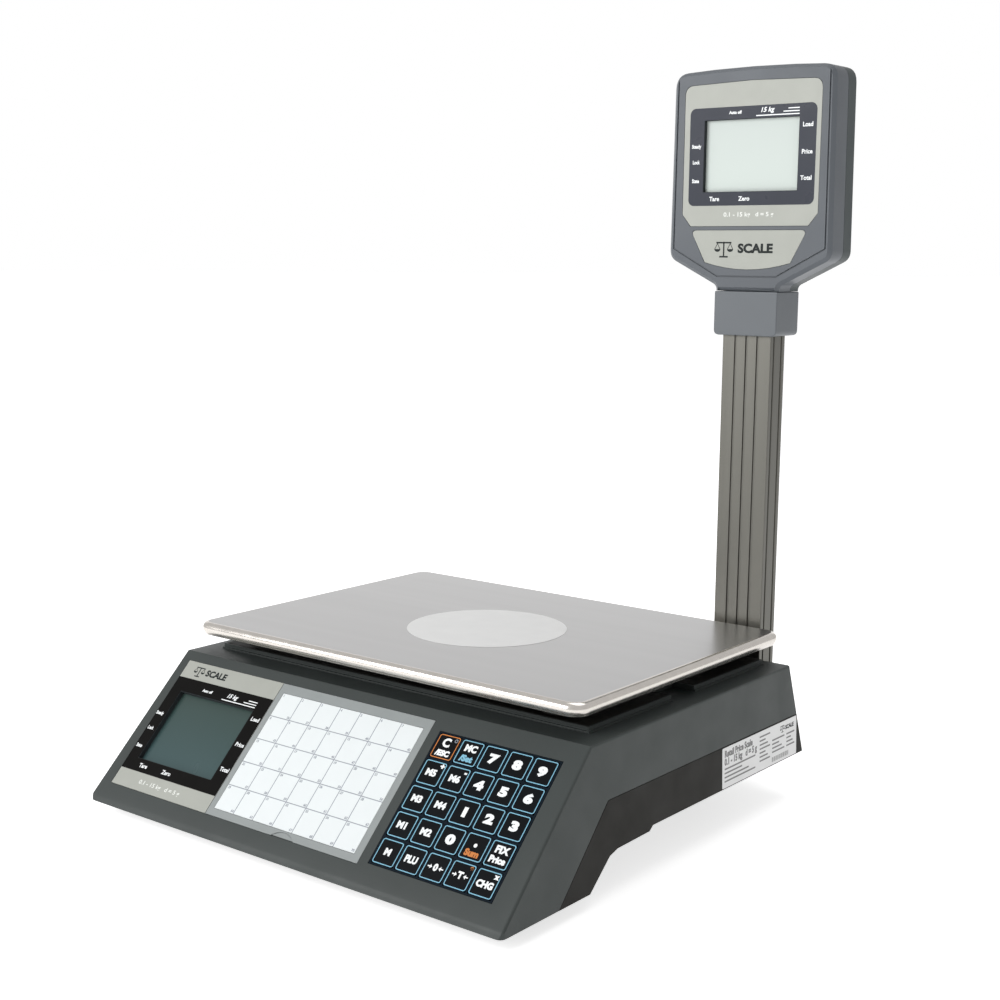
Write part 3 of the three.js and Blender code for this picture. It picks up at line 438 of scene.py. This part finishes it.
def finish_nodes():
    finish_node("upper_housing", HOUSING, 0.58 * MM, 3)
    finish_node("lower_housing", HOUSING_DARK, 0.5 * MM)
    finish_node("battery_door", HOUSING_DARK)
    finish_node("battery", BLACK_PLASTIC)
    finish_node("main_board", BOARD, 0.1 * MM)
    finish_node("head_board", BOARD, 0.1 * MM)
    finish_node("load_cell", ALUMINIUM, 0.3 * MM)
    finish_node("load_bracket", STEEL)
    finish_node("platter_support", HOUSING_DARK, 0.6 * MM)
    finish_node("operator_overlay", SILVER, 0)
    finish_node("plu_frame", GREY_FILM, 0)
    finish_node("plu_card", CARD, 0)
    finish_node("keypad_frame", KEY_GAP, 0.08 * MM, 1)
    finish_node("power_inlet", BLACK_PLASTIC, 0.3 * MM)
    finish_node("power_rocker", BLACK_PLASTIC, 0.3 * MM)
    finish_node("column", ALUMINIUM, 0.45 * MM)
    finish_node("column_bracket", HOUSING_DARK, 0.8 * MM)
    finish_node("column_cable", RUBBER, 0)
    finish_node("head_front_cover", HEAD_PLASTIC, 0.35 * MM)
    finish_node("head_rear_cover", HEAD_REAR, 0.8 * MM, 3)
    finish_node("head_collar", COLLAR_PLASTIC, 0.8 * MM, 3)
    finish_node("head_overlay", SILVER, 0)
    finish_node("head_badge", SILVER, 0)
    finish_node("level_vial", level_liquid(), 0.6 * MM, 3)
    for name in NODES:
        if name.startswith("key_"):
            finish_node(name, KEY_BLACK, 0.12 * MM)
        elif name.startswith("foot_pad"):
            finish_node(name, RUBBER, 0.5 * MM)
        elif name.startswith("foot_stud"):
            finish_node(name, STEEL, 0.2 * MM)


finish_nodes()


# ---------- displays ----------
def lcd_material(name, axes, node, low, high, roughness):
    """Unlit display glass, its colour running from low at the lower edge to high at the upper one: painted
    shade.
    """
    place = Extent(node, axes)
    made = Surface(name, specular=0.3)
    up = axes.to_3x3() @ Vector((0, 1, 0))
    made.gradient(up, place.y0, place.y1, [(0.0, low), (1.0, high)])
    return made.gloss(roughness - 0.03, roughness + 0.03, 20).material


def finish_displays():
    # Painted shade: both glasses are painted darker towards their upper edges.
    finish_node("operator_lcd", lcd_material("lcd_dark", PANEL, "operator_lcd", srgb(60, 82, 84),
                                             srgb(52, 69, 65), 0.25), 0)
    finish_node("head_lcd", lcd_material("lcd_pale", HEAD, "head_lcd", srgb(196, 205, 200),
                                         srgb(188, 196, 192), 0.3), 0)


finish_displays()


LCD_LAP = 2 * MM                   # the glass runs this far behind the edge of its window
SHROUD_WALL = 0.35 * MM
CAPTION_SCALE = 0.95
CAPTION_BOLD = 0.12 * MM
# Share of the window's height or width at which a caption stands, and its word.
RIGHT_CAPTIONS = ((0.88, "Load"), (0.52, "Price"), (0.17, "Total"))
LEFT_CAPTIONS = ((0.64, "Steady"), (0.42, "Lock"), (0.16, "State"))
LOWER_CAPTIONS = ((0.13, "Tare"), (0.45, "Zero"))
RANGE_TEXT = "0.1 - 15 kg   d = 5 g"
OPERATOR_BANDS = (13.1 * MM, 14.0 * MM)             # silver strips below and above the black window
HEAD_WINDOW = (-49.8 * MM, 51.0 * MM, 14.4 * MM, 83.0 * MM)


def opening(glass, grow):
    """Sides of the window in front of a display glass, grown by a margin."""
    inset = LCD_LAP - grow
    return glass.x0 + inset, glass.x1 - inset, glass.y0 + inset, glass.y1 - inset


def shroud(name, axes, film, lcd):
    """The rim that lines the opening in front of a recessed display."""
    glass = Extent(lcd, axes)
    top = Extent(film, axes).z1
    dark_frame = Piece(axes, glass.z1 + 0.05 * MM)
    outer = rounded(*opening(glass, 0.22 * MM), 0.4 * MM, 2)
    inner = rounded(*opening(glass, -SHROUD_WALL), 0.4 * MM, 2)
    dark_frame.frame(outer, inner, top - glass.z1 - 0.1 * MM, SHADOW_GAP)
    dark_frame.make(name, "root", "black_plastic")


def window_print(name, axes, film, lcd, sides, radius, ink, captions):
    """The dark window round a display, with its small captions."""
    glass = Extent(lcd, axes)
    surface = Extent(film, axes).z1
    slab = Piece(axes, surface)
    slab.frame(rounded(*sides, radius), rounded(*opening(glass, -0.1 * MM), 0.3 * MM), INK, ink)
    slab.make(name, "root", "silver_film")
    legends = Piece(axes, surface + INK)
    captions(legends, opening(glass, 0))
    legends.make(name + "_captions", "root", "silver_film")


def display_captions(gap):
    """Generic captions: what each line of the display shows, and the small indicators beside it."""
    def write(sheet, window):
        x0, x1, y0, y1 = window
        wide, high = x1 - x0, y1 - y0
        unit = MM * CAPTION_SCALE
        size, bold = 4.5 * unit, CAPTION_BOLD
        for share, word in RIGHT_CAPTIONS:
            sheet.words(word, x1 + gap, y0 + high * share, size, INK_WHITE, 0.95, bold)
        for share, word in LEFT_CAPTIONS:
            sheet.words(word, x0 - gap * 0.96, y0 + high * share, size * 0.86, INK_WHITE, 0.78, bold)
        for share, word in LOWER_CAPTIONS:
            sheet.words(word, x0 + wide * share, y0 - 5.0 * unit, size, INK_WHITE, 1.0, bold)
        head = y1 + 4.6 * unit
        sheet.words("Auto off", x0 + wide * 0.33, head, size * 0.68, INK_WHITE, 1.0, bold)
        sheet.words("15 kg", x0 + wide * 0.66, head + 0.8 * MM, size * 1.05, INK_WHITE, 1.1, bold, slant=0.25)
        bar = 0.75 * unit
        for row, start in enumerate((0.55, 0.83, 0.88)):
            y = y1 + (1.2 + 2.1 * row) * unit
            sheet.plate(rounded(x0 + wide * start, x1 - 0.4 * MM, y, y + bar, 0.2 * MM, 2), INK, INK_WHITE)
    return write


def balance_mark(sheet, x, y, size, ink):
    """A plain balance pictogram: a beam on a stand with two pans."""
    stroke = 0.09 * size

    def bar(half, bottom, top):
        sheet.plate(rounded(x - half, x + half, y + bottom, y + top, 0.1 * stroke, 2), INK, ink)

    bar(stroke / 2, -0.42 * size, 0.4 * size)
    bar(0.28 * size, -0.5 * size, -0.41 * size)
    bar(0.5 * size, 0.3 * size, 0.3 * size + stroke)
    for side in (-1, 1):
        cx = x + side * 0.42 * size
        turns = [math.pi * (1 + i / 12) for i in range(13)]
        bowl = [(cx + 0.2 * size * math.cos(a), y - 0.02 * size + 0.16 * size * math.sin(a)) for a in turns]
        sheet.plate(bowl, INK, ink)
        for lean in (-1, 1):
            foot = cx + lean * 0.17 * size
            sheet.plate([(foot - stroke / 4, y - 0.02 * size), (foot + stroke / 4, y - 0.02 * size),
                         (cx + stroke / 4, y + 0.3 * size), (cx - stroke / 4, y + 0.3 * size)], INK, ink)


def operator_display():
    film = Extent("operator_overlay", PANEL)
    low, high = film.y0 + OPERATOR_BANDS[0], film.y1 - OPERATOR_BANDS[1]
    sides = (film.x0 + 0.05 * MM, film.x1 - 0.05 * MM, low, high)
    shroud("operator_lcd_shroud", PANEL, "operator_overlay", "operator_lcd")
    window_print("operator_window", PANEL, "operator_overlay", "operator_lcd", sides, 0.3 * MM, WINDOW_BLACK,
                 display_captions(6.2 * MM))
    brand = Piece(PANEL, film.z1)
    balance_mark(brand, film.x0 + 16 * MM, (high + film.y1) / 2, 9 * MM, INK_BLACK)
    brand.words("SCALE", film.x0 + 34 * MM, (high + film.y1) / 2, 6.8 * MM, INK_BLACK, 1.1, 0.3 * MM)
    brand.words(RANGE_TEXT, film.x0 + 46 * MM, (film.y0 + low) / 2, 4.4 * MM, INK_PALE, 1.2, 0.08 * MM)
    brand.make("operator_overlay_print", "root", "silver_film")


def customer_display():
    film = Extent("head_overlay", HEAD)
    left, right, low, high = HEAD_WINDOW
    sides = (film.x + left, film.x + right, film.y0 + low, film.y0 + high)
    shroud("head_lcd_shroud", HEAD, "head_overlay", "head_lcd")
    window_print("head_window", HEAD, "head_overlay", "head_lcd", sides, 4.5 * MM, WINDOW_GREY,
                 display_captions(6.4 * MM))
    small = Piece(HEAD, film.z1)
    small.words(RANGE_TEXT, film.x, film.y0 + 8.0 * MM, 4.2 * MM, INK_PALE, 1.2, 0.08 * MM)
    small.make("head_overlay_print", "root", "silver_film")
    badge = Extent("head_badge", HEAD)
    mark = Piece(HEAD, badge.z1)
    balance_mark(mark, badge.x - 19 * MM, badge.y0 + 14.5 * MM, 12.5 * MM, INK_BLACK)
    mark.words("SCALE", badge.x + 6.5 * MM, badge.y0 + 14.5 * MM, 8.6 * MM, INK_BLACK, 1.15, 0.42 * MM)
    mark.make("head_badge_print", "root", "silver_film")


operator_display()
customer_display()


# ---------- preset card ----------
CARD_COLUMNS, CARD_ROWS = 7, 5
CARD_LINE = 0.6 * MM


def preset_card():
    card = Extent("plu_card", PANEL)
    sheet = Piece(PANEL, card.z1)
    half = CARD_LINE / 2
    step_x, step_y = card.width / CARD_COLUMNS, card.height / CARD_ROWS

    def line(x0, x1, y0, y1, thickness):
        sheet.plate([(x0, y0), (x1, y0), (x1, y1), (x0, y1)], thickness, INK_GREY)

    for column in range(1, CARD_COLUMNS):
        x = card.x0 + column * step_x
        line(x - half, x + half, card.y0, card.y1, INK / 2)
    for row in range(1, CARD_ROWS):
        y = card.y0 + row * step_y
        line(card.x0, card.x1, y - half, y + half, INK * 0.75)
    digits, bold = 2.5 * MM, 0.08 * MM
    for row in range(CARD_ROWS):
        for column in range(CARD_COLUMNS):
            number = (CARD_ROWS - 1 - row) * CARD_COLUMNS + column + 1
            left, right = card.x0 + column * step_x, card.x0 + (column + 1) * step_x
            low, high = card.y0 + row * step_y, card.y0 + (row + 1) * step_y
            sheet.words(str(number), left + 1.0 * MM, high - 1.9 * MM, digits, INK_GREY, 1.0, bold, "LEFT")
            sheet.words(str(number + CARD_COLUMNS * CARD_ROWS), right - 0.8 * MM, low + 1.6 * MM, digits,
                        INK_GREY, 1.0, bold, "RIGHT")
    sheet.make("plu_card_print", "root", "white_card")


preset_card()


def thumb_tab():
    """The card's pull tab: a shallow half moon in the notch at the frame's lower edge."""
    film = Extent("plu_frame", PANEL)
    reach, rise, middle = 9.4 * MM, 3.7 * MM, film.x + 3.45 * MM
    arc = []
    for i in range(13):
        share = i / 6 - 1
        arc.append((middle - share * reach, film.y0 + 0.5 * MM + rise * (1 - share * share)))
    tab = Piece(PANEL, film.z0 - 0.25 * MM).plate(arc, 0.6 * MM, GREY_FILM)
    tab.make("plu_card_tab", "root", "white_card")


thumb_tab()


# ---------- keypad ----------
WHITE_KEYS = {
    "key_7": "7", "key_8": "8", "key_9": "9", "key_4": "4", "key_5": "5", "key_6": "6",
    "key_1": "1", "key_2": "2", "key_3": "3", "key_0": "0",
}
SMALL_KEYS = {
    "key_m": "M", "key_m1": "M1", "key_m2": "M2", "key_m3": "M3", "key_m4": "M4", "key_m5": "M5",
    "key_m6": "M6", "key_plu": "PLU",
}
ARROW_KEYS = {"key_zero": "0", "key_tare": "T"}
BOLD = 0.36
# Words on a key: text, place from the cap's middle in mm, size in mm, ink, stretch and boldness in mm.
KEY_WORDS = {
    "key_clear": (("C", -0.8, 2.8, 8.2, INK_WHITE, 1.05, 0.4),
                  ("/ESC", 0, -4.6, 5.2, INK_WHITE, 1.05, BOLD)),
    "key_memory_clear": (("MC", 0, 3.0, 6.4, INK_WHITE, 1, BOLD),
                         ("/Set", 0, -4.2, 5.6, INK_BLUE, 1.1, BOLD)),
    "key_point": (("Sum", 0, -4.2, 5.8, INK_ORANGE, 1.05, BOLD),),
    "key_fix_price": (("FIX", 0, 3.0, 6.4, INK_WHITE, 1.05, BOLD),
                      ("Price", 0, -3.6, 5.8, INK_WHITE, 1, BOLD)),
    "key_change": (("CHG", 0, -0.8, 5.8, INK_WHITE, 0.98, BOLD),),
}
# Marks in a key's upper right corner: text, shift up in mm, size in mm, ink and stretch.
CORNER_MARKS = {
    "key_m5": ("+", 0, 5.0, INK_WHITE, 1.1),
    "key_m6": ("-", 0, 5.6, INK_WHITE, 1),
    "key_tare": ("*", -0.6, 4.6, INK_ORANGE, 1),
    "key_change": ("x", 0, 4.6, INK_WHITE, 1),
}
CORNER_INSET = 2.8 * MM


def arrows(sheet, cap, letter):
    """A letter between two arrowheads that point at it."""
    sheet.words(letter, cap.x, cap.y, 6.0 * MM, INK_WHITE, 1.0, BOLD * MM)
    for side in (-1, 1):
        tip = cap.x + side * 2.5 * MM
        tail = cap.x + side * 6.0 * MM
        middle = cap.x + side * 4.2 * MM
        sheet.plate([(middle, cap.y - 1.5 * MM), (tip, cap.y), (middle, cap.y + 1.5 * MM)], INK, INK_WHITE)
        sheet.plate([(middle, cap.y - 0.4 * MM), (tail, cap.y - 0.4 * MM), (tail, cap.y + 0.4 * MM),
                     (middle, cap.y + 0.4 * MM)], INK, INK_WHITE)


def legend(sheet, name, cap):
    if name in WHITE_KEYS:
        sheet.words(WHITE_KEYS[name], cap.x, cap.y, 8.2 * MM, INK_WHITE, 1.5, 0.6 * MM)
    if name in SMALL_KEYS:
        narrow = 0.92 if name == "key_plu" else 1.06
        sheet.words(SMALL_KEYS[name], cap.x - 0.4 * MM, cap.y, 6.2 * MM, INK_WHITE, narrow, BOLD * MM)
    if name in ARROW_KEYS:
        arrows(sheet, cap, ARROW_KEYS[name])
    if name == "key_point":
        sheet.plate(circle(cap.x, cap.y + 1.2 * MM, 1.3 * MM, 20), INK, INK_WHITE)
    for text, across, up, size, ink, stretch, bold in KEY_WORDS.get(name, ()):
        sheet.words(text, cap.x + across * MM, cap.y + up * MM, size * MM, ink, stretch, bold * MM)
    x, y = cap.x1 - CORNER_INSET, cap.y1 - CORNER_INSET
    if name in CORNER_MARKS:
        text, up, size, ink, stretch = CORNER_MARKS[name]
        sheet.words(text, x, y + up * MM, size * MM, ink, stretch, BOLD * MM)
    if name == "key_clear":
        sheet.frame(circle(x, y, 1.3 * MM, 16), circle(x, y, 0.8 * MM, 16), INK, INK_GREY)


def keypad_prints():
    stroke, inset, radius = 0.62 * MM, 0.12 * MM, 1.6 * MM
    for name in sorted(NODES):
        if not name.startswith("key_"):
            continue
        cap = Extent(name, PANEL)
        sheet = Piece(PANEL, cap.z1)
        outer = rounded(cap.x0 + inset, cap.x1 - inset, cap.y0 + inset, cap.y1 - inset, radius)
        hole = inset + stroke
        inner = rounded(cap.x0 + hole, cap.x1 - hole, cap.y0 + hole, cap.y1 - hole, radius - stroke)
        sheet.frame(outer, inner, INK, INK_ORANGE if name == "key_clear" else INK_BLUE)
        legend(sheet, name, cap)
        sheet.make("legend_" + name[4:], name, "keypad")


keypad_prints()


# ---------- platter ----------
DISC_ACROSS, DISC_UP, DISC_RADIUS, DISC_THICK = 3 * MM, -4 * MM, 58 * MM, 0.12 * MM


def platter_pan():
    """A drawn steel pan: flat satin top, edge rolled over and tucked in again, ending in a hem."""
    pan = Extent("platter", TOP)
    corner = 12 * MM
    sheet = 1.2 * MM
    roll = 4.4 * MM                      # radius of the rolled shoulder
    tuck = 1.5 * MM                      # how far the lower edge turns in
    height = pan.z1 - pan.z0
    piece = Piece(TOP, pan.z0)

    def ring(inset, level):
        radius = max(corner - inset, 1.5 * MM)
        return piece.loop(rounded(pan.x0 + inset, pan.x1 - inset, pan.y0 + inset, pan.y1 - inset, radius, 10),
                          level)

    shoulder = []
    for i in range(11):
        angle = math.radians(9 * i)
        shoulder.append(ring(roll - roll * math.sin(angle), height - roll + roll * math.cos(angle)))
    bead = 0.9 * MM                      # radius of the hem
    slope = []
    for i in range(1, 7):
        share = i / 7
        level = (height - roll) * (1 - share) + bead * share
        slope.append(ring(tuck * share ** 1.5, level))
    hem = []
    for i in range(7):
        angle = math.radians(180 * i / 6)
        hem.append(ring(tuck + bead - bead * math.cos(angle), bead - bead * math.sin(angle)))
    inner = [ring(tuck + 2 * bead, 2.5 * MM), ring(sheet + 1.4 * MM, height - roll),
             ring(roll + 0.8 * MM, height - sheet)]
    top = [ring(roll + 1.2 * MM, height), shoulder[0]]
    piece.skin(top, STEEL_TOP)
    piece.cap(top[0], STEEL_TOP)
    # The rim's lighter steel tone is a painted highlight.
    piece.skin(shoulder + slope + hem + inner, STEEL_RIM, smooth=True)
    piece.cap(inner[-1], STEEL_TOP, flip=True)
    made = piece.make("platter_pan", "platter", "steel")
    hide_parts("platter")

    disc = Piece(TOP, pan.z1)
    disc.plate(circle(pan.x + DISC_ACROSS, pan.y + DISC_UP, DISC_RADIUS, 96), DISC_THICK, DISC)
    disc.make("platter_disc", "platter", "steel")


platter_pan()


# ---------- painted shade on the deck ---
PAINTED_SHADE_EDGE = 1.4 * MM             # bare margin of the raised deck round its painted shade sheet
PAINTED_SHADE_BAND, PAINTED_SHADE_THICK = 34 * MM, 0.2 * MM


def deck_lining():
    """Painted shade: a dark sheet round the top of the raised deck, standing in for the platter's shadow,
    with the notches in its sides left open.
    """
    deck = Extent("upper_housing", TOP)
    points = [v.co for v in NODES["upper_housing"].data.vertices if v.co.z > deck.z1 - 0.1 * MM]
    edge = PAINTED_SHADE_EDGE
    x0, x1 = min(p.x for p in points) + edge, max(p.x for p in points) - edge
    y0, y1 = min(p.y for p in points) + edge, max(p.y for p in points) - edge
    half = (x1 - x0) / 2
    notch = [p for p in points if 0.7 * half < p.x - deck.x < half - 4 * MM]
    n0, n1 = min(p.y for p in notch) - edge, max(p.y for p in notch) + edge
    depth = x1 - min(p.x for p in notch) + edge
    outer = [(x0, y0), (x1, y0), (x1, n0), (x1 - depth, n0), (x1 - depth, n1), (x1, n1), (x1, y1),
             (x0, y1), (x0, n1), (x0 + depth, n1), (x0 + depth, n0), (x0, n0)]
    u0, u1, v0, v1 = x0 + PAINTED_SHADE_BAND, x1 - PAINTED_SHADE_BAND, y0 + PAINTED_SHADE_BAND, y1 - PAINTED_SHADE_BAND
    inner = [(u0, v0), (u1, v0), (u1, n0), (u1, n0 + edge), (u1, n1 - edge), (u1, n1), (u1, v1),
             (u0, v1), (u0, n1), (u0, n1 - edge), (u0, n0 + edge), (u0, n0)]
    # Painted shade: this sheet's dark plastic colour stands in for the platter's shadow on the deck.
    dark_frame = Piece(TOP, deck.z1).frame(outer, inner, PAINTED_SHADE_THICK, HOUSING_DARK)
    dark_frame.make("deck_lining", "root", "housing_dark")


deck_lining()


# ---------- rating label ----------
LABEL_WIDE, LABEL_HIGH, LABEL_FILM = 105 * MM, 28.4 * MM, 0.12 * MM
# Columns of greeked text, in mm: distance from the left side, width, distance from the top, lines.
GREEKED = ((3, 42, 14.6, 4), (51, 15, 3.4, 7), (69, 18, 10, 4), (90, 12, 10, 4))
LINE_STEP, LINE_HIGH = 2.9 * MM, 1.1 * MM
CODE_START, CODE_STEP, CODE_BARS = 69 * MM, 1.1 * MM, 22


def rating_label():
    """A printed label on the right side wall: headings, greeked lines and the plain balance mark."""
    axes, edge = flared_wall(1)
    x1, y1 = Extent("lower_housing", TOP).y1 - 11 * MM, edge.y - 0.6 * MM
    x0, y0 = x1 - LABEL_WIDE, y1 - LABEL_HIGH
    sheet = Piece(axes, edge.z)
    sheet.plate(rounded(x0, x1, y0, y1, 0.8 * MM, 3), LABEL_FILM, LABEL)
    sheet.level += LABEL_FILM
    for row, line in enumerate(("Retail Price Scale", RANGE_TEXT)):
        sheet.words(line, x0 + 3 * MM, y1 - (4.8 + 5.6 * row) * MM, 6.4 * MM, LABEL_GREY, 0.86, 0.3 * MM,
                    align="LEFT")
    for start, width, first, rows in GREEKED:
        left = x0 + start * MM
        for row in range(rows):
            length = width * (1 - 0.22 * ((row * 2 + start) % 3)) * MM
            y = y1 - first * MM - LINE_STEP * row
            sheet.plate(rounded(left, left + length, y - LINE_HIGH, y, 0.2 * MM, 2), INK, LABEL_GREY)
    for i in range(CODE_BARS):
        x = x0 + CODE_START + CODE_STEP * i
        thick = (0.65 if i % 3 == 0 else 0.35) * MM
        sheet.plate(rounded(x, x + thick, y0 + 2 * MM, y0 + 5.4 * MM, 0.05 * MM, 1), INK, LABEL_GREY)
    balance_mark(sheet, x0 + 84 * MM, y1 - 5.2 * MM, 5.6 * MM, INK_BLACK)
    sheet.words("SCALE", x0 + 94.5 * MM, y1 - 5.4 * MM, 4.0 * MM, INK_BLACK, 1.1, 0.2 * MM)
    sheet.make("rating_label", "root", "white_card")


rating_label()


# ---------- screws, level, inlet and switch marks ----------
# Radius and rise of each kind of screw head.
SHOE_SCREW, HEAD_SCREW = (3.6 * MM, 1.4 * MM), (2.8 * MM, 0.7 * MM)
DOOR_SCREW, BASE_SCREW = (3 * MM, 1.2 * MM), (3.4 * MM, 1.2 * MM)


def screw(piece, x, y, radius, rise):
    """A low pan head with a cross recess, standing on the piece's plane."""
    turns = [2 * math.pi * i / 24 for i in range(24)]

    def ring(share, height, cross=False):
        points = []
        for angle in turns:
            reach = radius * share * (0.3 + 0.7 * abs(math.cos(2 * angle)) ** 3 if cross else 1)
            points.append((x + reach * math.cos(angle), y + reach * math.sin(angle)))
        return piece.loop(points, height)

    rings = [ring(1, 0), ring(1, 0.4 * rise), ring(0.85, 0.85 * rise), ring(0.66, rise)]
    rings += [ring(0.6, rise, True), ring(0.5, 0.3 * rise, True)]
    piece.skin(rings, STEEL)
    piece.cap(rings[0], STEEL, flip=True)
    piece.cap(rings[-1], STEEL)


def screw_set(name, axes, level, places, radius, rise):
    """Equal screws on one plane, as one piece."""
    piece = Piece(axes, level)
    for x, y in places:
        screw(piece, x, y, radius, rise)
    piece.make(name, "root", "steel")


def corners(x, reach, heights):
    return [(x + side * reach, y) for side in (-1, 1) for y in heights]


def screws():
    shoe = Extent("column_bracket", REAR)
    places = corners(shoe.x, 15 * MM, (shoe.y0 + 20 * MM, shoe.y1 - 9 * MM))
    screw_set("column_bracket_screws", REAR, shoe.z1, places, *SHOE_SCREW)
    cover = Extent("head_rear_cover", REAR)
    places = corners(cover.x, 48 * MM, (cover.y0 + 34 * MM, cover.y1 - 16 * MM))
    screw_set("head_rear_screws", REAR, cover.z1, places, *HEAD_SCREW)
    door = Extent("battery_door", UNDER)
    below = Piece(UNDER, door.z1)
    screw(below, door.x, door.y0 + 6 * MM, *DOOR_SCREW)
    for x, y in corners(door.x, 148 * MM, (door.y0 + 4 * MM, door.y1 + 30 * MM)):
        screw(below, x, y, *BASE_SCREW)
    below.make("underside_screws", "root", "steel")


def level_bubble():
    vial = Extent("level_vial", TOP)
    eye = Piece(TOP, vial.z1)
    eye.frame(circle(vial.x, vial.y, 7.6 * MM), circle(vial.x, vial.y, 6.4 * MM), 0.3 * MM, BLACK_PLASTIC)
    eye.frame(circle(vial.x, vial.y, 2.9 * MM), circle(vial.x, vial.y, 2.5 * MM), INK, INK_BLACK)
    eye.plate(circle(vial.x + 0.3 * MM, vial.y + 0.2 * MM, 2.1 * MM), 0.25 * MM, INK_PALE, chamfer=0.2 * MM)
    eye.make("level_bubble", "root", "vial")


CONTACT_PLACES = ((7, -1.5), (-7, -1.5), (0, 2.5))        # mm from the inlet's middle
CONTACT_SKIN = 0.12 * MM                                  # how much the caps are larger than the contacts


def inlet_pins():
    """Bright caps over the three contacts inside the power inlet."""
    body = Extent("power_inlet", LEFT)
    half_x, half_y = MM + CONTACT_SKIN, 2 * MM + CONTACT_SKIN
    pins = Piece(LEFT, body.z1 - 15.4 * MM)
    for across, up in CONTACT_PLACES:
        x, y = body.x + across * MM, body.y + up * MM
        outline = rounded(x - half_x, x + half_x, y - half_y, y + half_y, 0.3 * MM, 3)
        pins.plate(outline, 8.2 * MM, BRASS, chamfer=0.3 * MM)
    pins.make("power_inlet_pins", "root", "steel")


def switch_marks():
    axes, edge = flared_wall(-1)
    rocker = Extent("power_rocker", axes)
    marks = Piece(axes, edge.z)
    y = rocker.y1 + 3.2 * MM
    bar_x = rocker.x - 5.4 * MM
    marks.plate(rounded(bar_x, bar_x + 0.7 * MM, y - 1.6 * MM, y + 1.6 * MM, 0.1 * MM, 2), INK, INK_PALE)
    marks.frame(circle(rocker.x + 5 * MM, y, 1.7 * MM), circle(rocker.x + 5 * MM, y, 1.1 * MM), INK, INK_PALE)
    marks.make("power_marks", "root", "housing_dark")


screws()
level_bubble()
inlet_pins()
switch_marks()


# ---------- floor and light ----------
FLOOR_GLOW = 0.7
AMBIENT = 0.36                      # strength of the world's light on matt surfaces
REFLECTED = 0.75                    # and in reflections
FLOOR_RADIUS, FLOOR_THICK, FLOOR_CLEAR = 30, 20 * MM, 0.02 * MM
# Area lights: name, place, the point it aims at, width and height in metres, power in watts.
SOFTBOXES = (
    ("key_light", (-1.1, -1.9, 1.15), (0, 0, 0.25), 1.5, 1.2, 38),
    ("back_light", (-1.8, 2.2, 0.75), (0, 0, 0.15), 3.4, 1.4, 7.5),
    ("top_light", (0.1, 0.5, 2.0), (0, 0, 0.1), 1.6, 1.2, 12),
)


def stage():
    made = Surface("floor_paint", specular=0.1)
    made.color((0.9, 0.9, 0.9), 0.005, 3).gloss(0.75, 0.85, 20)
    made.shader.inputs["Emission Color"].default_value = (1, 1, 1, 1)
    made.shader.inputs["Emission Strength"].default_value = FLOOR_GLOW
    floor = Piece(TOP, 0.0)
    floor.plate(circle(0, 0, FLOOR_RADIUS, 64), FLOOR_THICK, made.material, base=-FLOOR_THICK - FLOOR_CLEAR)
    data = bpy.data.meshes.new("floor")
    bmesh.ops.recalc_face_normals(floor.mesh, faces=floor.mesh.faces)
    floor.mesh.to_mesh(data)
    floor.mesh.free()
    data.materials.append(made.material)
    piece = bpy.data.objects.new("floor", data)
    bpy.context.scene.collection.objects.link(piece)


def softbox(name, place, aim, width, height, power):
    light = bpy.data.lights.new(name, "AREA")
    light.shape = "RECTANGLE"
    light.size, light.size_y = width, height
    light.energy = power
    holder = bpy.data.objects.new(name, light)
    holder.location = place
    holder.rotation_euler = (Vector(aim) - Vector(place)).to_track_quat("-Z", "Y").to_euler()
    holder.visible_camera = False
    bpy.context.scene.collection.objects.link(holder)


def studio_world():
    """Even light from all round, brighter in reflections; the camera itself sees it as plain white."""
    world = bpy.data.worlds.new("studio")
    world.use_nodes = True
    nodes, links = world.node_tree.nodes, world.node_tree.links
    background = nodes["Background"]
    background.inputs["Color"].default_value = (1, 1, 1, 1)
    ray = nodes.new("ShaderNodeLightPath")
    strength = None
    for kind, level in (("Is Glossy Ray", REFLECTED), ("Is Camera Ray", 1.0)):
        pick = nodes.new("ShaderNodeMapRange")
        pick.inputs["To Min"].default_value = AMBIENT
        if strength:
            links.new(strength, pick.inputs["To Min"])
        pick.inputs["To Max"].default_value = level
        links.new(ray.outputs[kind], pick.inputs["Value"])
        strength = pick.outputs["Result"]
    links.new(strength, background.inputs["Strength"])
    bpy.context.scene.world = world


def lighting():
    studio_world()
    for box in SOFTBOXES:
        softbox(*box)
    bpy.context.scene.view_settings.view_transform = "Standard"


stage()
lighting()
